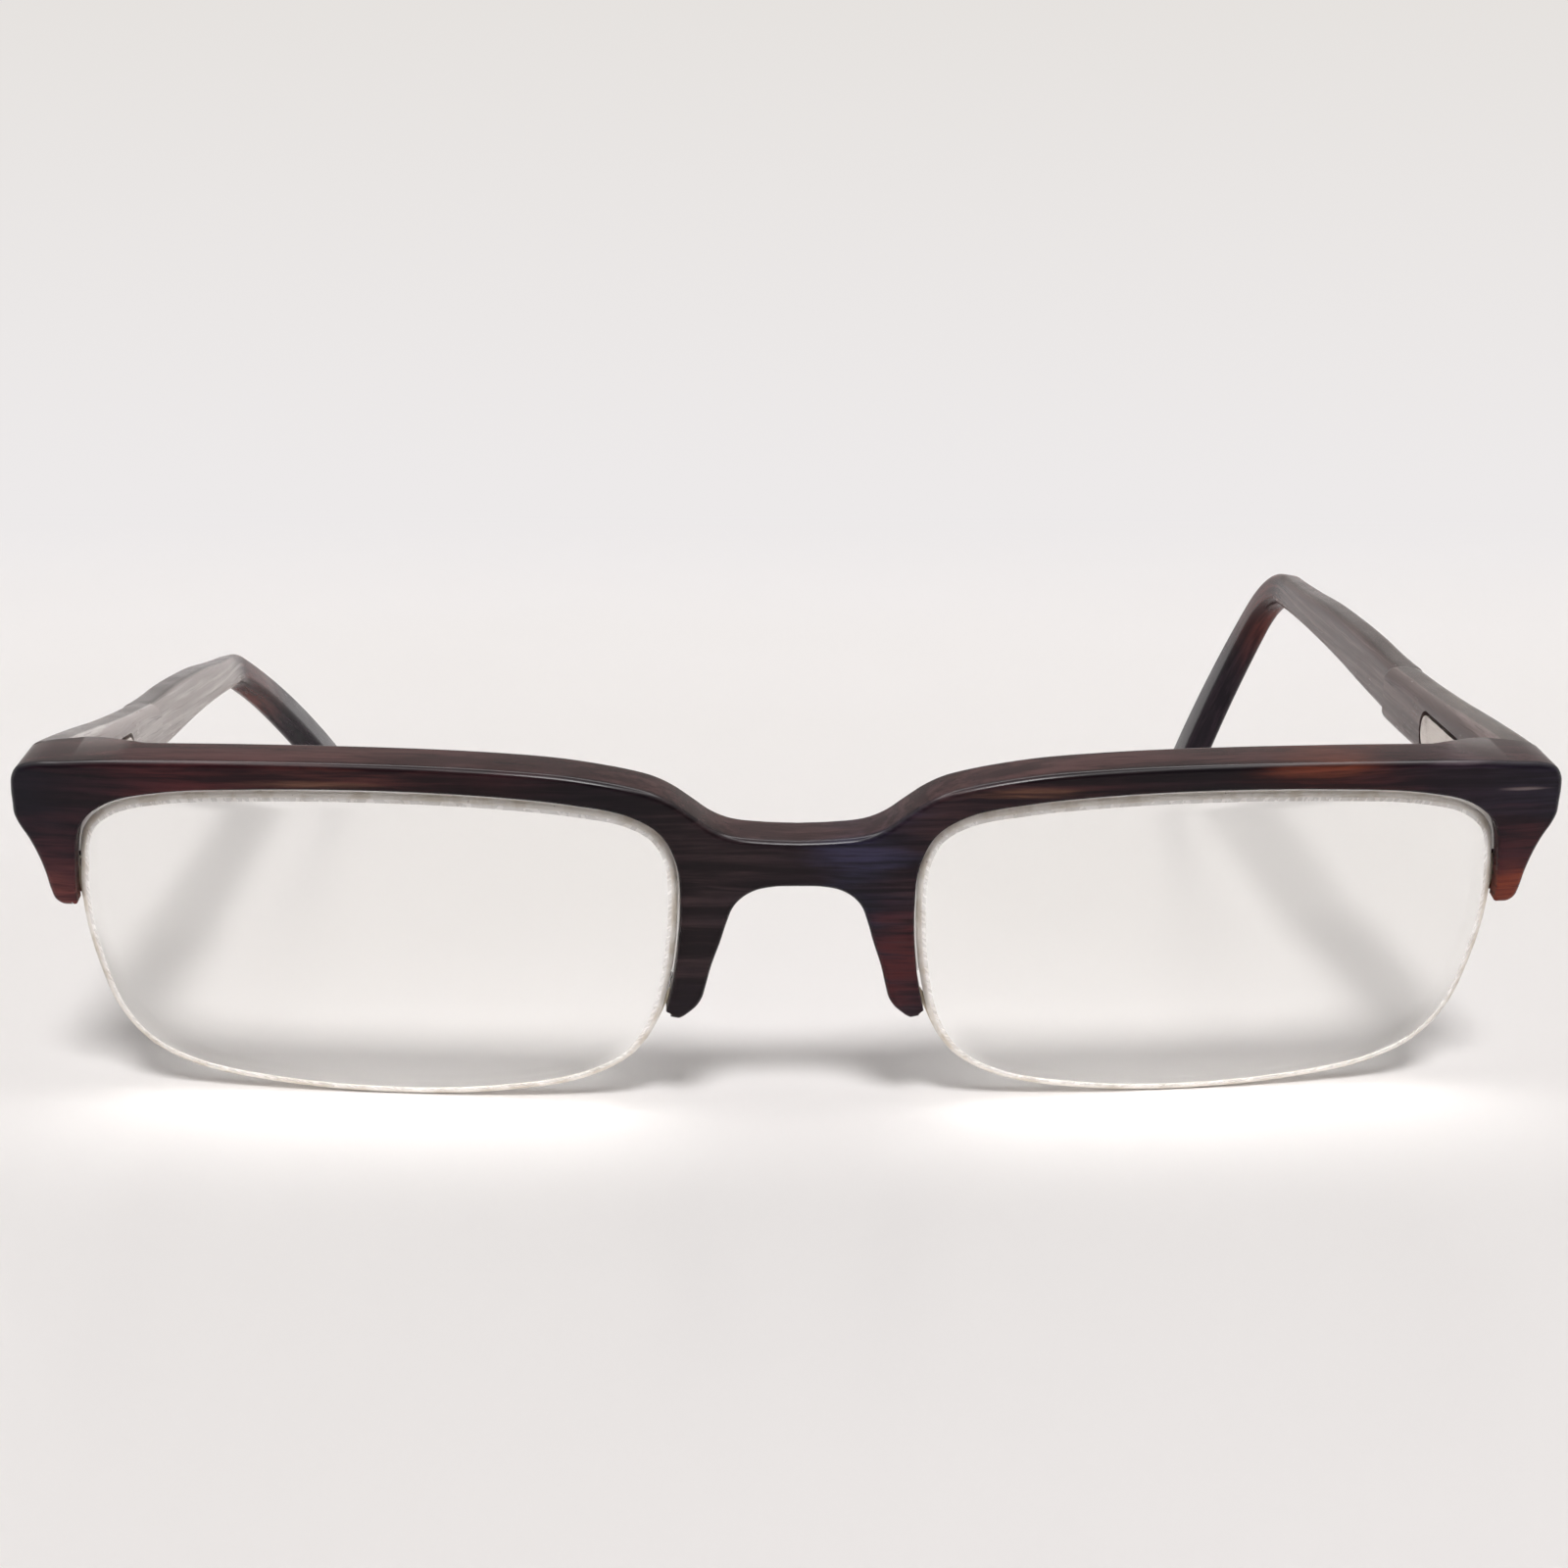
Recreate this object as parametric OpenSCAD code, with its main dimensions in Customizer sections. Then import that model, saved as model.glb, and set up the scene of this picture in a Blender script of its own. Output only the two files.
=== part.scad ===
// Half-rim reading glasses, open, standing on the lens bottoms and the temple tips.
// X runs to the wearer's left, Y to the rear, Z up. The front faces -Y.

/* [Lenses] */
// Width of each lens
lens_w = 51.3; // [46:0.1:56]
// Height of each lens along the leaning front
lens_h = 30.1; // [27:0.1:34]
// Lens thickness at the edge
lens_edge_t = 2; // [1.8:0.1:2.4]
// Lens thickness at the centre
lens_centre_t = 2.5; // [2.4:0.1:3.2]
// Radius of the lens front surface
lens_radius = 220; // [150:10:290]
// Distance between the two lenses
bridge_w = 20.3; // [17:0.1:24]

/* [Brow front] */
// Thickness of the acetate front
front_t = 4.1; // [3.9:0.1:5]
// Height of the brow above the lens box
brow_h = 3.05; // [2.4:0.05:4]
// Width of the end piece beside the lens
end_w = 4.9; // [4.6:0.1:5.5]
// Radius that the front is bent to
bow_radius = 300; // [300:10:500]
// Lean of the front, top forward
lean = 17; // [12:1:20]
// Thickness of the lug that carries the hinge
lug_t = 6.6; // [6.4:0.1:7.4]
// Radius of the polished front edges
edge_r = 0.6; // [0.3:0.05:0.8]
// Radius of the rear edges
rear_edge_r = 0.5; // [0.3:0.05:0.7]

/* [Lens mounting] */
// Gap between the brow and the top of the lens, filled by the liner
top_gap = 0.75; // [0.6:0.05:1]
// Gap between the frame and the sides of the lens
side_gap = 0.25; // [0.2:0.05:0.4]
// Diameter of the nylon cord
cord_d = 0.5; // [0.4:0.02:0.56]
// Width of the grooves in the lens edge and in the rim
groove_w = 0.66; // [0.62:0.02:0.8]
// Depth of the groove in the lens edge
lens_groove_depth = 0.45; // [0.4:0.05:0.6]
// Depth of the groove in the rim
rim_groove_depth = 0.8; // [0.7:0.05:1]

/* [Temples] */
// Length of each temple along its centre line, seat to tip
temple_len = 141; // [130:1:150]
// Length from the seat to the start of the ear bend
bend_start = 92; // [84:1:98]
// Radius of the ear bend
bend_radius = 14; // [10:1:20]
// Radius of the curved tip behind the bend
tip_radius = 90; // [60:5:140]
// Height of the temple at the hinge
temple_h = 7; // [6.8:0.1:9]
// Thickness of the temple at the hinge
temple_t = 4.3; // [4.1:0.1:5]
// Height of the step where the inner face thins
temple_step = 0.95; // [0.5:0.05:1.1]
// Distance from the seat to that step
step_at = 36; // [32:1:45]
// Outward opening of the temples
splay = 1.8; // [0:0.1:3]
// Upward pitch of the wearer's left temple
left_pitch = 4.9; // [0:0.1:6]
// Upward pitch of the wearer's right temple
right_pitch = -1.6; // [-4:0.1:4]
// Inward lean of the wearer's left tip
left_tip_lean = 15; // [0:1:20]
// Inward lean of the wearer's right tip
right_tip_lean = 25; // [0:1:28]

/* [Hinges] */
// Drop of the hinge middle below the top of the brow
hinge_drop = 4.1; // [3.6:0.05:4.6]
// How far the barrels sink into the pocket of the temple
hinge_sink = 0.75; // [0.4:0.05:0.8]
// Outer radius of the hinge barrels
barrel_r = 1.25; // [1.1:0.05:1.3]
// Height of one barrel
barrel_h = 0.9; // [0.8:0.05:1]
// Gap between neighbouring barrels
barrel_gap = 0.1; // [0.06:0.01:0.12]
// Radius of the screw shank
screw_r = 0.6; // [0.5:0.02:0.7]
// Radius of the screw head
screw_head_r = 1.1; // [1:0.05:1.2]
// Height of the screw head
screw_head_h = 0.6; // [0.4:0.05:0.7]
// Thickness of the hinge leaves
leaf_t = 0.9; // [0.7:0.05:0.95]
// Height of the temple leaf
leaf_h = 3.4; // [3:0.1:3.6]
// Length of the temple leaf behind the axis
leaf_len = 21.5; // [16:0.5:26]
// Radius of the core wire
wire_r = 0.6; // [0.4:0.05:0.7]

/* [Hidden] */

// Clearances and overruns
fit_gap = 0.05;
seat_gap = 0.15;
overrun = 12;

// Colours
horn_colour = [0.16, 0.11, 0.12];
metal_colour = [0.74, 0.72, 0.70];
clear_colour = [0.86, 0.88, 0.86, 0.35];
nylon_colour = [0.72, 0.63, 0.45];

// Lens outline, clockwise from the middle of the nasal side: share of the width, share of the height
lens_outline_shares = [
    [0.000, 0.672], [0.005, 0.793], [0.029, 0.879], [0.079, 0.933], [0.172, 0.966],
    [0.308, 0.989], [0.483, 1.000], [0.676, 0.995], [0.841, 0.975], [0.932, 0.936],
    [0.979, 0.869], [0.996, 0.738], [1.000, 0.590], [0.986, 0.413], [0.959, 0.256],
    [0.909, 0.141], [0.831, 0.069], [0.696, 0.023], [0.492, 0.000], [0.308, 0.015],
    [0.163, 0.064], [0.079, 0.148], [0.037, 0.259], [0.0155, 0.393], [0.004, 0.534]
];

// Nose side of the front, from the leg tip up to the arch on the centre line. Each row holds a zone
// across (0 to 1 is half the bridge), a zone up (0 to 1 is the lens height) and the place on the lens
// outline that it pairs with, counted in points of the list above.
arch_shares = [
    [0.990, 0.309, -2.62], [0.916, 0.316, -2.55], [0.842, 0.336, -2.43],
    [0.793, 0.364, -2.26], [0.761, 0.405, -1.98], [0.716, 0.470, -1.45],
    [0.637, 0.556, -0.90], [0.585, 0.619, -0.50], [0.534, 0.666, -0.20],
    [0.455, 0.699, 0.05], [0.345, 0.722, 0.25], [0.195, 0.733, 0.45],
    [0.000, 0.735, 0.65]
];

// Upper side of the front, from the bridge out to the end-piece tip. Across, 1 to 2 is the lens and
// 2 to 3 is the end piece. Up, 1 to 2 is the brow above the lens.
brow_shares = [
    [0.000, 0.877, 1.70], [0.293, 0.881, 1.95], [0.553, 0.892, 2.20],
    [0.719, 0.916, 2.45], [0.879, 0.957, 2.70], [1.007, 0.996, 2.95],
    [1.038, 1.230, 3.15], [1.075, 1.413, 3.35], [1.133, 1.610, 3.75],
    [1.201, 1.774, 4.25], [1.299, 1.895, 4.93], [1.406, 1.967, 5.55],
    [1.542, 2.000, 6.30], [1.698, 1.993, 7.12], [1.835, 1.951, 7.95],
    [1.933, 1.902, 8.70], [2.031, 1.820, 9.15], [2.561, 1.754, 9.40],
    [2.827, 1.607, 9.55], [2.949, 1.328, 9.65], [2.990, 0.997, 9.80],
    [3.000, 0.950, 10.00], [3.000, 0.914, 10.15], [2.933, 0.880, 10.30],
    [2.796, 0.837, 10.50], [2.667, 0.781, 10.75], [2.578, 0.724, 11.00],
    [2.524, 0.671, 11.30], [2.463, 0.641, 11.50], [2.327, 0.625, 11.62],
    [2.153, 0.624, 11.72]
];

// Temple edges: share of the length, then top and bottom as shares of the height, and inner and
// outer face behind the step as shares of the thickness
temple_edge_shares = [
    [-0.04, 0.62, 0.30, 0.31, 0.49], [0.00, 0.62, 0.31, 0.31, 0.49], [0.07, 0.56, 0.35, 0.31, 0.48],
    [0.14, 0.48, 0.39, 0.31, 0.46], [0.22, 0.42, 0.41, 0.31, 0.44], [0.29, 0.41, 0.39, 0.31, 0.42],
    [0.36, 0.45, 0.34, 0.31, 0.41], [0.43, 0.45, 0.28, 0.31, 0.40], [0.50, 0.42, 0.24, 0.33, 0.39],
    [0.57, 0.34, 0.23, 0.34, 0.38], [0.65, 0.28, 0.26, 0.34, 0.38], [0.72, 0.29, 0.32, 0.35, 0.38],
    [0.80, 0.33, 0.40, 0.37, 0.40], [0.90, 0.40, 0.50, 0.40, 0.41], [0.96, 0.45, 0.55, 0.40, 0.41],
    [1.00, 0.46, 0.57, 0.40, 0.41]
];

// Places on the lens outline where the liner and the cord begin and end
liner_from = -5 / 3;
liner_to = 32 / 3;
cord_from = 10.98;
cord_to = 22.98;

// Steps of the faceted surfaces
outline_steps = 3;
rim_steps = 2;
centre_steps = 2;
front_edge_steps = 3;
rear_edge_steps = 2;
lens_rings = [0.4, 0.75];
cord_sides = 6;
corner_steps = 3;
bend_steps = 7;
tip_steps = 9;
tip_round_steps = 5;
settle_steps = 18;
fine = 48;

// Sizes that follow from the ones above
cord_r = cord_d / 2;
nasal_x = bridge_w / 2;
lens_cx = nasal_x + lens_w / 2;
lens_cv = lens_h / 2;
front_half_w = nasal_x + lens_w + end_w;
lens_front_w = (front_t - lens_edge_t) / 5;
rim_corner_r = rear_edge_r / 2;
lens_corner_r = lens_edge_t / 12;
cord_sink = cord_r * 0.4;
cord_hole_r = cord_r + fit_gap * 2;
cord_anchor = side_gap + cord_r + fit_gap;
temple_cx = front_half_w - temple_t * 0.49 - 2.5 * seat_gap;
temple_inner = temple_t * 0.31 + temple_step;
inner_face_x = temple_cx - temple_inner;
hinge_x = inner_face_x - barrel_r + hinge_sink;
lug_inner_x = hinge_x - lug_t;
lug_low_v = lens_h * 0.66;
lug_full_v = lens_h * 0.8;
rest_lift = -(lens_front_w + lens_cup(lens_cx, 0) + lens_corner_r) * sin(lean);
hinge_z = (lens_h + brow_h) * cos(lean) + rest_lift - hinge_drop;
hinge_v = (hinge_z - rest_lift - front_t * sin(lean)) / cos(lean);
seat_y = bow(hinge_x) - hinge_v * sin(lean) + front_t * cos(lean) + lug_t - front_t;
axis_gap = barrel_r + seat_gap * 4;
axis_y = seat_y + axis_gap;
hinge_h = barrel_h * 5 + barrel_gap * 4;
barrel_pitch = barrel_h + barrel_gap;
leaf_rise = hinge_h / cos(lean);
well_r = barrel_r + seat_gap * 2;
web_w = barrel_r * 1.4;
front_leaf_w = barrel_r * 2.8;
front_leaf_from = hinge_x - web_w / 2;
anchor_w = front_leaf_w / 2;
anchor_h = hinge_h * 0.6;
anchor_depth = leaf_t * 2;
screw_slot_w = screw_head_r * 0.25;
pocket_h = temple_h * 0.6;
wire_start = leaf_len - leaf_h / 2;
wire_end = temple_len - temple_h;
wire_bend_share = 0.97;
tip_round = temple_h * 0.62;

function mix(a, b, t) = a + (b - a) * t;
function smooth(t) = let (u = min(1, max(0, t))) u * u * (3 - 2 * u);
function unit(p) = p / norm(p);

function arc_length(radius, a) = radius * a * PI / 180;
function arc_angle(radius, length) = length / radius * 180 / PI;

// Sag of the bent front at a distance from the middle
function bow(x) = x * x / (2 * bow_radius);

// Further depth of the lens surface than the bent front has
function lens_cup(x, v) =
    pow(abs(x) - lens_cx, 2) / 2 * (1 / lens_radius - 1 / bow_radius)
    + pow(v - lens_cv, 2) / (2 * lens_radius);

// Middle of the lens edge, as a depth behind the front face
function edge_depth(p) = lens_front_w + lens_cup(p[0], p[1]) + lens_edge_t / 2;

// From front coordinates (across, up the leaning front, depth behind its face) to the model. What
// is deeper than the front is thick, such as the lugs, goes straight back.
function place(x, v, w) =
    let (d = min(w, front_t))
    [
        x,
        bow(x) - v * sin(lean) + d * cos(lean) + w - d,
        v * cos(lean) + d * sin(lean) + rest_lift
    ];

// Direction in the model of a direction in the plane of the front
function tilt(d) = [d[0], -d[1] * sin(lean), d[1] * cos(lean)];

// Points between b and c on a smooth curve through four points, knots by the root of the distance
function flat_gap(p, q) = sqrt(norm([q[0] - p[0], q[1] - p[1]]));
function curve_point(a, b, c, d, u) =
    let (
        k1 = flat_gap(a, b), k2 = k1 + flat_gap(b, c), k3 = k2 + flat_gap(c, d),
        k = mix(k1, k2, u),
        ab = mix(a, b, k / k1),
        bc = mix(b, c, (k - k1) / (k2 - k1)),
        cd = mix(c, d, (k - k2) / (k3 - k2)),
        abc = mix(ab, bc, k / k2),
        bcd = mix(bc, cd, (k - k1) / (k3 - k1))
    ) mix(abc, bcd, (k - k1) / (k2 - k1));

// An open curve through rows, with steps points from each row to the next, ends included
function open_curve(rows, steps) =
    let (
        last = len(rows) - 1,
        ends = concat([2 * rows[0] - rows[1]], rows, [2 * rows[last] - rows[last - 1]])
    )
    concat(
        [for (i = [0:last - 1], k = [0:steps - 1])
            curve_point(ends[i], ends[i + 1], ends[i + 2], ends[i + 3], k / steps)],
        [rows[last]]
    );

// A point of the lens outline at a place counted in points of its list
lens_points = [for (s = lens_outline_shares) [nasal_x + s[0] * lens_w, s[1] * lens_h]];
lens_count = len(lens_points);
function lens_point(i) = lens_points[(i + 2 * lens_count) % lens_count];
function lens_at(t) =
    let (i = floor(t))
    curve_point(lens_point(i - 1), lens_point(i), lens_point(i + 1), lens_point(i + 2), t - i);
function lens_normal(t) =
    let (d = lens_at(t + 0.05) - lens_at(t - 0.05))
    unit([-d[1], d[0]]);
function rim_gap(t) = mix(side_gap, top_gap, pow(max(0, lens_normal(t)[1]), 2));

// Zones across and up the front, in lengths
function across(a) =
    a < 1 ? a * nasal_x
    : a < 2 ? nasal_x + (a - 1) * lens_w
    : nasal_x + lens_w + (a - 2) * end_w;
function upward(b) = b < 1 ? b * lens_h : lens_h + (b - 1) * brow_h;
function zone_rows(rows) = [for (r = rows) [across(r[0]), upward(r[1]), r[2]]];

// Thickness of the front, which grows into the lug behind the end piece
function front_depth(p) =
    front_t + (lug_t * 1.08 - front_t)
    * smooth((p[0] - lug_inner_x) / lug_t)
    * smooth((p[1] - lug_low_v) / (lug_full_v - lug_low_v));

// Stations of half the front, each [rim point, rim normal, outer point, outer normal, edge radii
// share, depth of the groove]
function edge_normal(curve, i) =
    let (
        d = curve[min(i + 1, len(curve) - 1)] - curve[max(i - 1, 0)],
        n = unit([-d[1], d[0]])
    )
    abs(curve[i][0]) < fit_gap / 10 ? [0, sign(n[1])] : n;
function rim_point(t) = lens_at(t) + lens_normal(t) * rim_gap(t);
function station(p, n, share) =
    [rim_point(p[2]), lens_normal(p[2]), [p[0], p[1]], n, share, edge_depth(lens_at(p[2]))];
arch_curve = open_curve(zone_rows(arch_shares), rim_steps);
brow_curve = open_curve(zone_rows(brow_shares), rim_steps);
arch_last = arch_curve[len(arch_curve) - 1];
centre_curve = [for (k = [1:centre_steps]) mix(arch_last, brow_curve[0], k / (centre_steps + 1))];
half_stations = concat(
    [for (i = [0:len(arch_curve) - 1]) station(arch_curve[i], edge_normal(arch_curve, i), 1)],
    [for (p = centre_curve) station(p, [0, 0], 0)],
    [for (i = [0:len(brow_curve) - 1]) station(brow_curve[i], edge_normal(brow_curve, i), 1)]
);

// One cross-section: rounded front edge, rounded rear edge, rear face, rim with its groove, front face
function front_section(s) =
    let (
        rim = s[0], rim_n = s[1], outer = s[2], outer_n = s[3], share = s[4],
        front_inset = outer - outer_n * edge_r * share,
        rear_inset = outer - outer_n * rear_edge_r * share,
        rim_inset = rim + rim_n * rim_corner_r,
        floor_point = rim + rim_n * rim_groove_depth,
        mid_front = mix(front_inset, rim_inset, 0.5),
        mid_rear = mix(rear_inset, rim_inset, 0.5),
        depth = front_depth(outer),
        groove_mid = s[5]
    )
    concat(
        [for (k = [0:front_edge_steps]) let (a = 90 * k / front_edge_steps)
            concat(outer - outer_n * edge_r * share * (1 - sin(a)), edge_r * (1 - cos(a)))],
        [for (k = [0:rear_edge_steps]) let (a = 90 * k / rear_edge_steps)
            concat(outer - outer_n * rear_edge_r * share * (1 - cos(a)),
                depth - rear_edge_r * (1 - sin(a)))],
        [
            concat(mid_rear, front_depth(mid_rear)),
            concat(rim_inset, front_depth(rim_inset)),
            concat(rim, front_depth(rim) - rim_corner_r),
            concat(rim, groove_mid + groove_w / 2),
            concat(floor_point, groove_mid + groove_w / 2),
            concat(floor_point, groove_mid - groove_w / 2),
            concat(rim, groove_mid - groove_w / 2),
            concat(rim, rim_corner_r),
            concat(rim_inset, 0),
            concat(mid_front, 0)
        ]
    );
wall_last = front_edge_steps + rear_edge_steps + 1;
section_count = wall_last + 11;

// Two triangles for each cell between neighbouring rings, unless both rings are on the centre line
function grid_faces(rings, count, on_centre, wall_cells, flip) = [
    for (i = [0:rings - 2], j = [0:count - 1])
        if (!(on_centre[i] && on_centre[i + 1] && j < wall_cells))
            let (a = i * count + j, b = i * count + (j + 1) % count, c = b + count, d = a + count)
                each flip ? [[a, b, c], [a, c, d]] : [[a, c, b], [a, d, c]]
];

// Triangles that close a ring, fanned inside each of its three convex stretches
function fan(ids) = [for (k = [1:len(ids) - 2]) [ids[0], ids[k + 1], ids[k]]];
function turned(faces) = [for (f = faces) [f[0], f[2], f[1]]];
function shifted(faces, n) = [for (f = faces) [f[0] + n, f[1] + n, f[2] + n]];
function end_cap(start) =
    let (w = wall_last, e = front_edge_steps)
    concat(
        fan([for (j = [w + 6, w + 7, w + 8, w + 9, w + 10]) start + j]),
        fan(concat([start + w + 6, start + w + 10], [for (j = [0:e]) start + j])),
        fan([start + w + 5, start + w + 6, start + e, start + e + 1]),
        fan(concat([start + w + 5], [for (j = [e + 1:w + 1]) start + j], [start + w + 2])),
        fan([for (j = [w + 2, w + 3, w + 4, w + 5]) start + j])
    );

module front_plate() {
    rings = len(half_stations);
    half = [for (s = half_stations, p = front_section(s)) place(p[0], p[1], p[2])];
    on_centre = [for (s = half_stations) abs(s[2][0]) < fit_gap / 10];
    faces = concat(
        grid_faces(rings, section_count, on_centre, wall_last, true),
        end_cap(0),
        turned(end_cap((rings - 1) * section_count))
    );
    mirrored = [for (p = half) [-p[0], p[1], p[2]]];
    polyhedron(concat(half, mirrored), concat(faces, shifted(turned(faces), len(half))));
}

// Runs its children on both sides of the face
module both_sides() {
    children();
    mirror([1, 0, 0]) children();
}

// The plane that the lug and the temple meet on, as a block behind it
module behind_seat(gap) {
    translate([hinge_x - overrun / 4, seat_y + gap, hinge_z])
        rotate([lean, 0, 0])
            translate([0, 0, -overrun])
                cube([overrun * 2, overrun * 2, overrun * 2]);
}

// Children drawn on the plane that the lug and the temple meet on: Y square to it, Z up the plane
module on_seat(x) {
    translate([x, seat_y, hinge_z]) rotate([lean, 0, 0]) children();
}

// Upright well that the barrels and the screw head turn in
module hinge_well(radius) {
    low = hinge_h / 2 + 2 * seat_gap;
    translate([hinge_x, axis_y, hinge_z - low])
        cylinder(r = radius, h = 2 * low + screw_head_h, $fn = fine);
}

// Notch at the front of the temple's well, for the webs of the front leaf
module web_notch() {
    low = hinge_h / 2 + 2 * seat_gap;
    translate([hinge_x - well_r, axis_y - overrun, hinge_z - low])
        cube([well_r + web_w / 2 + seat_gap, overrun, 2 * low + screw_head_h]);
}

// Recess of the front leaf, with the slot of its anchor, and the well of the barrels
module hinge_recess() {
    on_seat(front_leaf_from - fit_gap) {
        translate([0, -leaf_t - 2 * fit_gap, -leaf_rise / 2 - fit_gap])
            cube([front_leaf_w + 2 * fit_gap, overrun, leaf_rise + 2 * fit_gap]);
        translate([(front_leaf_w - anchor_w) / 2, -leaf_t - anchor_depth - 2 * fit_gap,
            -anchor_h / 2 - fit_gap])
            cube([anchor_w + 2 * fit_gap, anchor_depth + overrun, anchor_h + 2 * fit_gap]);
    }
    hinge_well(well_r);
}

// A hole from the rim groove out through the rear face, where a cord end is drawn through
module cord_hole(t) {
    p = lens_at(t) + lens_normal(t) * cord_anchor;
    start = place(p[0], p[1], edge_depth(p));
    translate(start)
        rotate([lean - 90, 0, 0])
            cylinder(r = cord_hole_r, h = front_t, $fn = fine);
}

module brow_front() {
    color(horn_colour)
        difference() {
            front_plate();
            both_sides() {
                behind_seat(0);
                hinge_recess();
                cord_hole(cord_from);
                cord_hole(cord_to);
            }
        }
}

// Lens: rings from the centre of the front face over the grooved edge to the centre of the rear face
function lens_profile() =
    let (half = lens_edge_t / 2, c = lens_corner_r, g = groove_w / 2, d = lens_groove_depth)
    [[-c, -half], [0, c - half], [0, -g], [-d, -g], [-d, g], [0, g], [0, half - c], [-c, half]];
lens_belly = lens_centre_t - lens_edge_t;
function lens_face(t, share, rear) =
    let (
        p = mix([lens_cx, lens_cv], lens_at(t), share),
        w = lens_front_w + lens_cup(p[0], p[1])
    )
    place(p[0], p[1], rear ? w + lens_edge_t + lens_belly * (1 - share * share) : w);
function lens_edge(t, q) =
    let (rim = lens_at(t), p = rim + lens_normal(t) * q[0])
    place(p[0], p[1], edge_depth(rim) + q[1]);

module lens_solid() {
    n = lens_count * outline_steps;
    places = [for (i = [0:n - 1]) i / outline_steps];
    rear_rings = [for (k = [len(lens_rings) - 1:-1:0]) lens_rings[k]];
    points = concat(
        [lens_face(0, 0, false)],
        [for (r = lens_rings, t = places) lens_face(t, r, false)],
        [for (q = lens_profile(), t = places) lens_edge(t, q)],
        [for (r = rear_rings, t = places) lens_face(t, r, true)],
        [lens_face(0, 0, true)]
    );
    rings = 2 * len(lens_rings) + len(lens_profile());
    last = len(points) - 1;
    never = [for (i = [0:rings]) false];
    polyhedron(points, concat(
        [for (j = [0:n - 1]) [0, 1 + j, 1 + (j + 1) % n]],
        shifted(grid_faces(rings, n, never, 0, false), 1),
        [for (j = [0:n - 1]) [last, last - n + (j + 1) % n, last - n + j]]
    ));
}

// A tube or strip: the same ring of places around each point of a route along the lens edge
module swept(rings, count, flip) {
    points = [for (r = rings, p = r) p];
    total = len(rings);
    never = [for (i = [0:total]) false];
    first_cap = fan([for (j = [0:count - 1]) j]);
    last_cap = fan([for (j = [0:count - 1]) (total - 1) * count + j]);
    polyhedron(points, concat(
        grid_faces(total, count, never, 0, flip),
        flip ? first_cap : turned(first_cap),
        flip ? turned(last_cap) : last_cap
    ));
}

// Cord route: place on the outline, offset from the lens edge, share of the way back to the rear face
cord_lead_shares = [[0, 1, 1], [0, 1, 0.5], [0.02, 1, 0.12], [0.12, 0.92, 0], [0.34, 0.4, 0]];
cord_run = 0.9;
function cord_row(t, out, back) =
    let (
        off = mix(-cord_sink, cord_anchor, out),
        p = lens_at(t) + lens_normal(t) * off,
        w = edge_depth(lens_at(t))
    )
    concat(place(p[0], p[1], mix(w, front_t, back)), t);
cord_steps = round((cord_to - cord_from - 2 * cord_run) * outline_steps);
cord_rows = concat(
    [for (s = cord_lead_shares) cord_row(cord_from + s[0], s[1], s[2])],
    [for (k = [0:cord_steps]) cord_row(mix(cord_from + cord_run, cord_to - cord_run, k / cord_steps), 0, 0)],
    [for (k = [len(cord_lead_shares) - 1:-1:0]) let (s = cord_lead_shares[k])
        cord_row(cord_to - s[0], s[1], s[2])]
);
function cord_ring(i) =
    let (
        row = cord_rows[i],
        here = [row[0], row[1], row[2]],
        before = cord_rows[max(i - 1, 0)],
        after = cord_rows[min(i + 1, len(cord_rows) - 1)],
        along = unit([after[0] - before[0], after[1] - before[1], after[2] - before[2]]),
        out = tilt(lens_normal(row[3])),
        u = unit(out - along * (out * along)),
        v = cross(along, u)
    )
    [for (k = [0:cord_sides - 1]) let (a = 360 * k / cord_sides)
        here + cord_r * (cos(a) * u + sin(a) * v)];

// Liner section: a tongue in the rim groove, a body in the gap, a tongue in the lens groove
function liner_ring(t) =
    let (
        rim = lens_at(t), n = lens_normal(t), gap = rim_gap(t), w = edge_depth(rim),
        tongue = groove_w / 2 - fit_gap, body = lens_edge_t / 2 - lens_corner_r * 2,
        top = gap + rim_groove_depth - fit_gap, low = fit_gap - lens_groove_depth,
        upper = gap - fit_gap, lower = fit_gap
    )
    [for (q = [
        [top, -tongue], [upper, -tongue], [upper, -body], [lower, -body], [lower, -tongue], [low, -tongue],
        [low, tongue], [lower, tongue], [lower, body], [upper, body], [upper, tongue], [top, tongue]
    ]) let (p = rim + n * q[0]) place(p[0], p[1], w + q[1])];
liner_steps = round((liner_to - liner_from) * outline_steps);
function liner_fan(start) = concat(
    fan([for (j = [0, 1, 10, 11]) start + j]),
    fan([for (j = [2, 3, 4, 7, 8, 9, 10, 1]) start + j]),
    fan([for (j = [4, 5, 6, 7]) start + j])
);

module liner_solid() {
    rings = [for (k = [0:liner_steps]) liner_ring(mix(liner_from, liner_to, k / liner_steps))];
    points = [for (r = rings, p = r) p];
    never = [for (i = [0:len(rings)]) false];
    polyhedron(points, concat(
        grid_faces(len(rings), 12, never, 0, false),
        turned(liner_fan(0)),
        liner_fan(liner_steps * 12)
    ));
}

module left_lens() {
    color(clear_colour) lens_solid();
}

module right_lens() {
    color(clear_colour) mirror([1, 0, 0]) lens_solid();
}

module cord_solid() {
    swept([for (i = [0:len(cord_rows) - 1]) cord_ring(i)], cord_sides, false);
}

module left_nylon_cord() {
    color(nylon_colour) cord_solid();
}

module right_nylon_cord() {
    color(nylon_colour) mirror([1, 0, 0]) cord_solid();
}

module left_rim_liner() {
    color(clear_colour) liner_solid();
}

module right_rim_liner() {
    color(clear_colour) mirror([1, 0, 0]) liner_solid();
}

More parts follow.
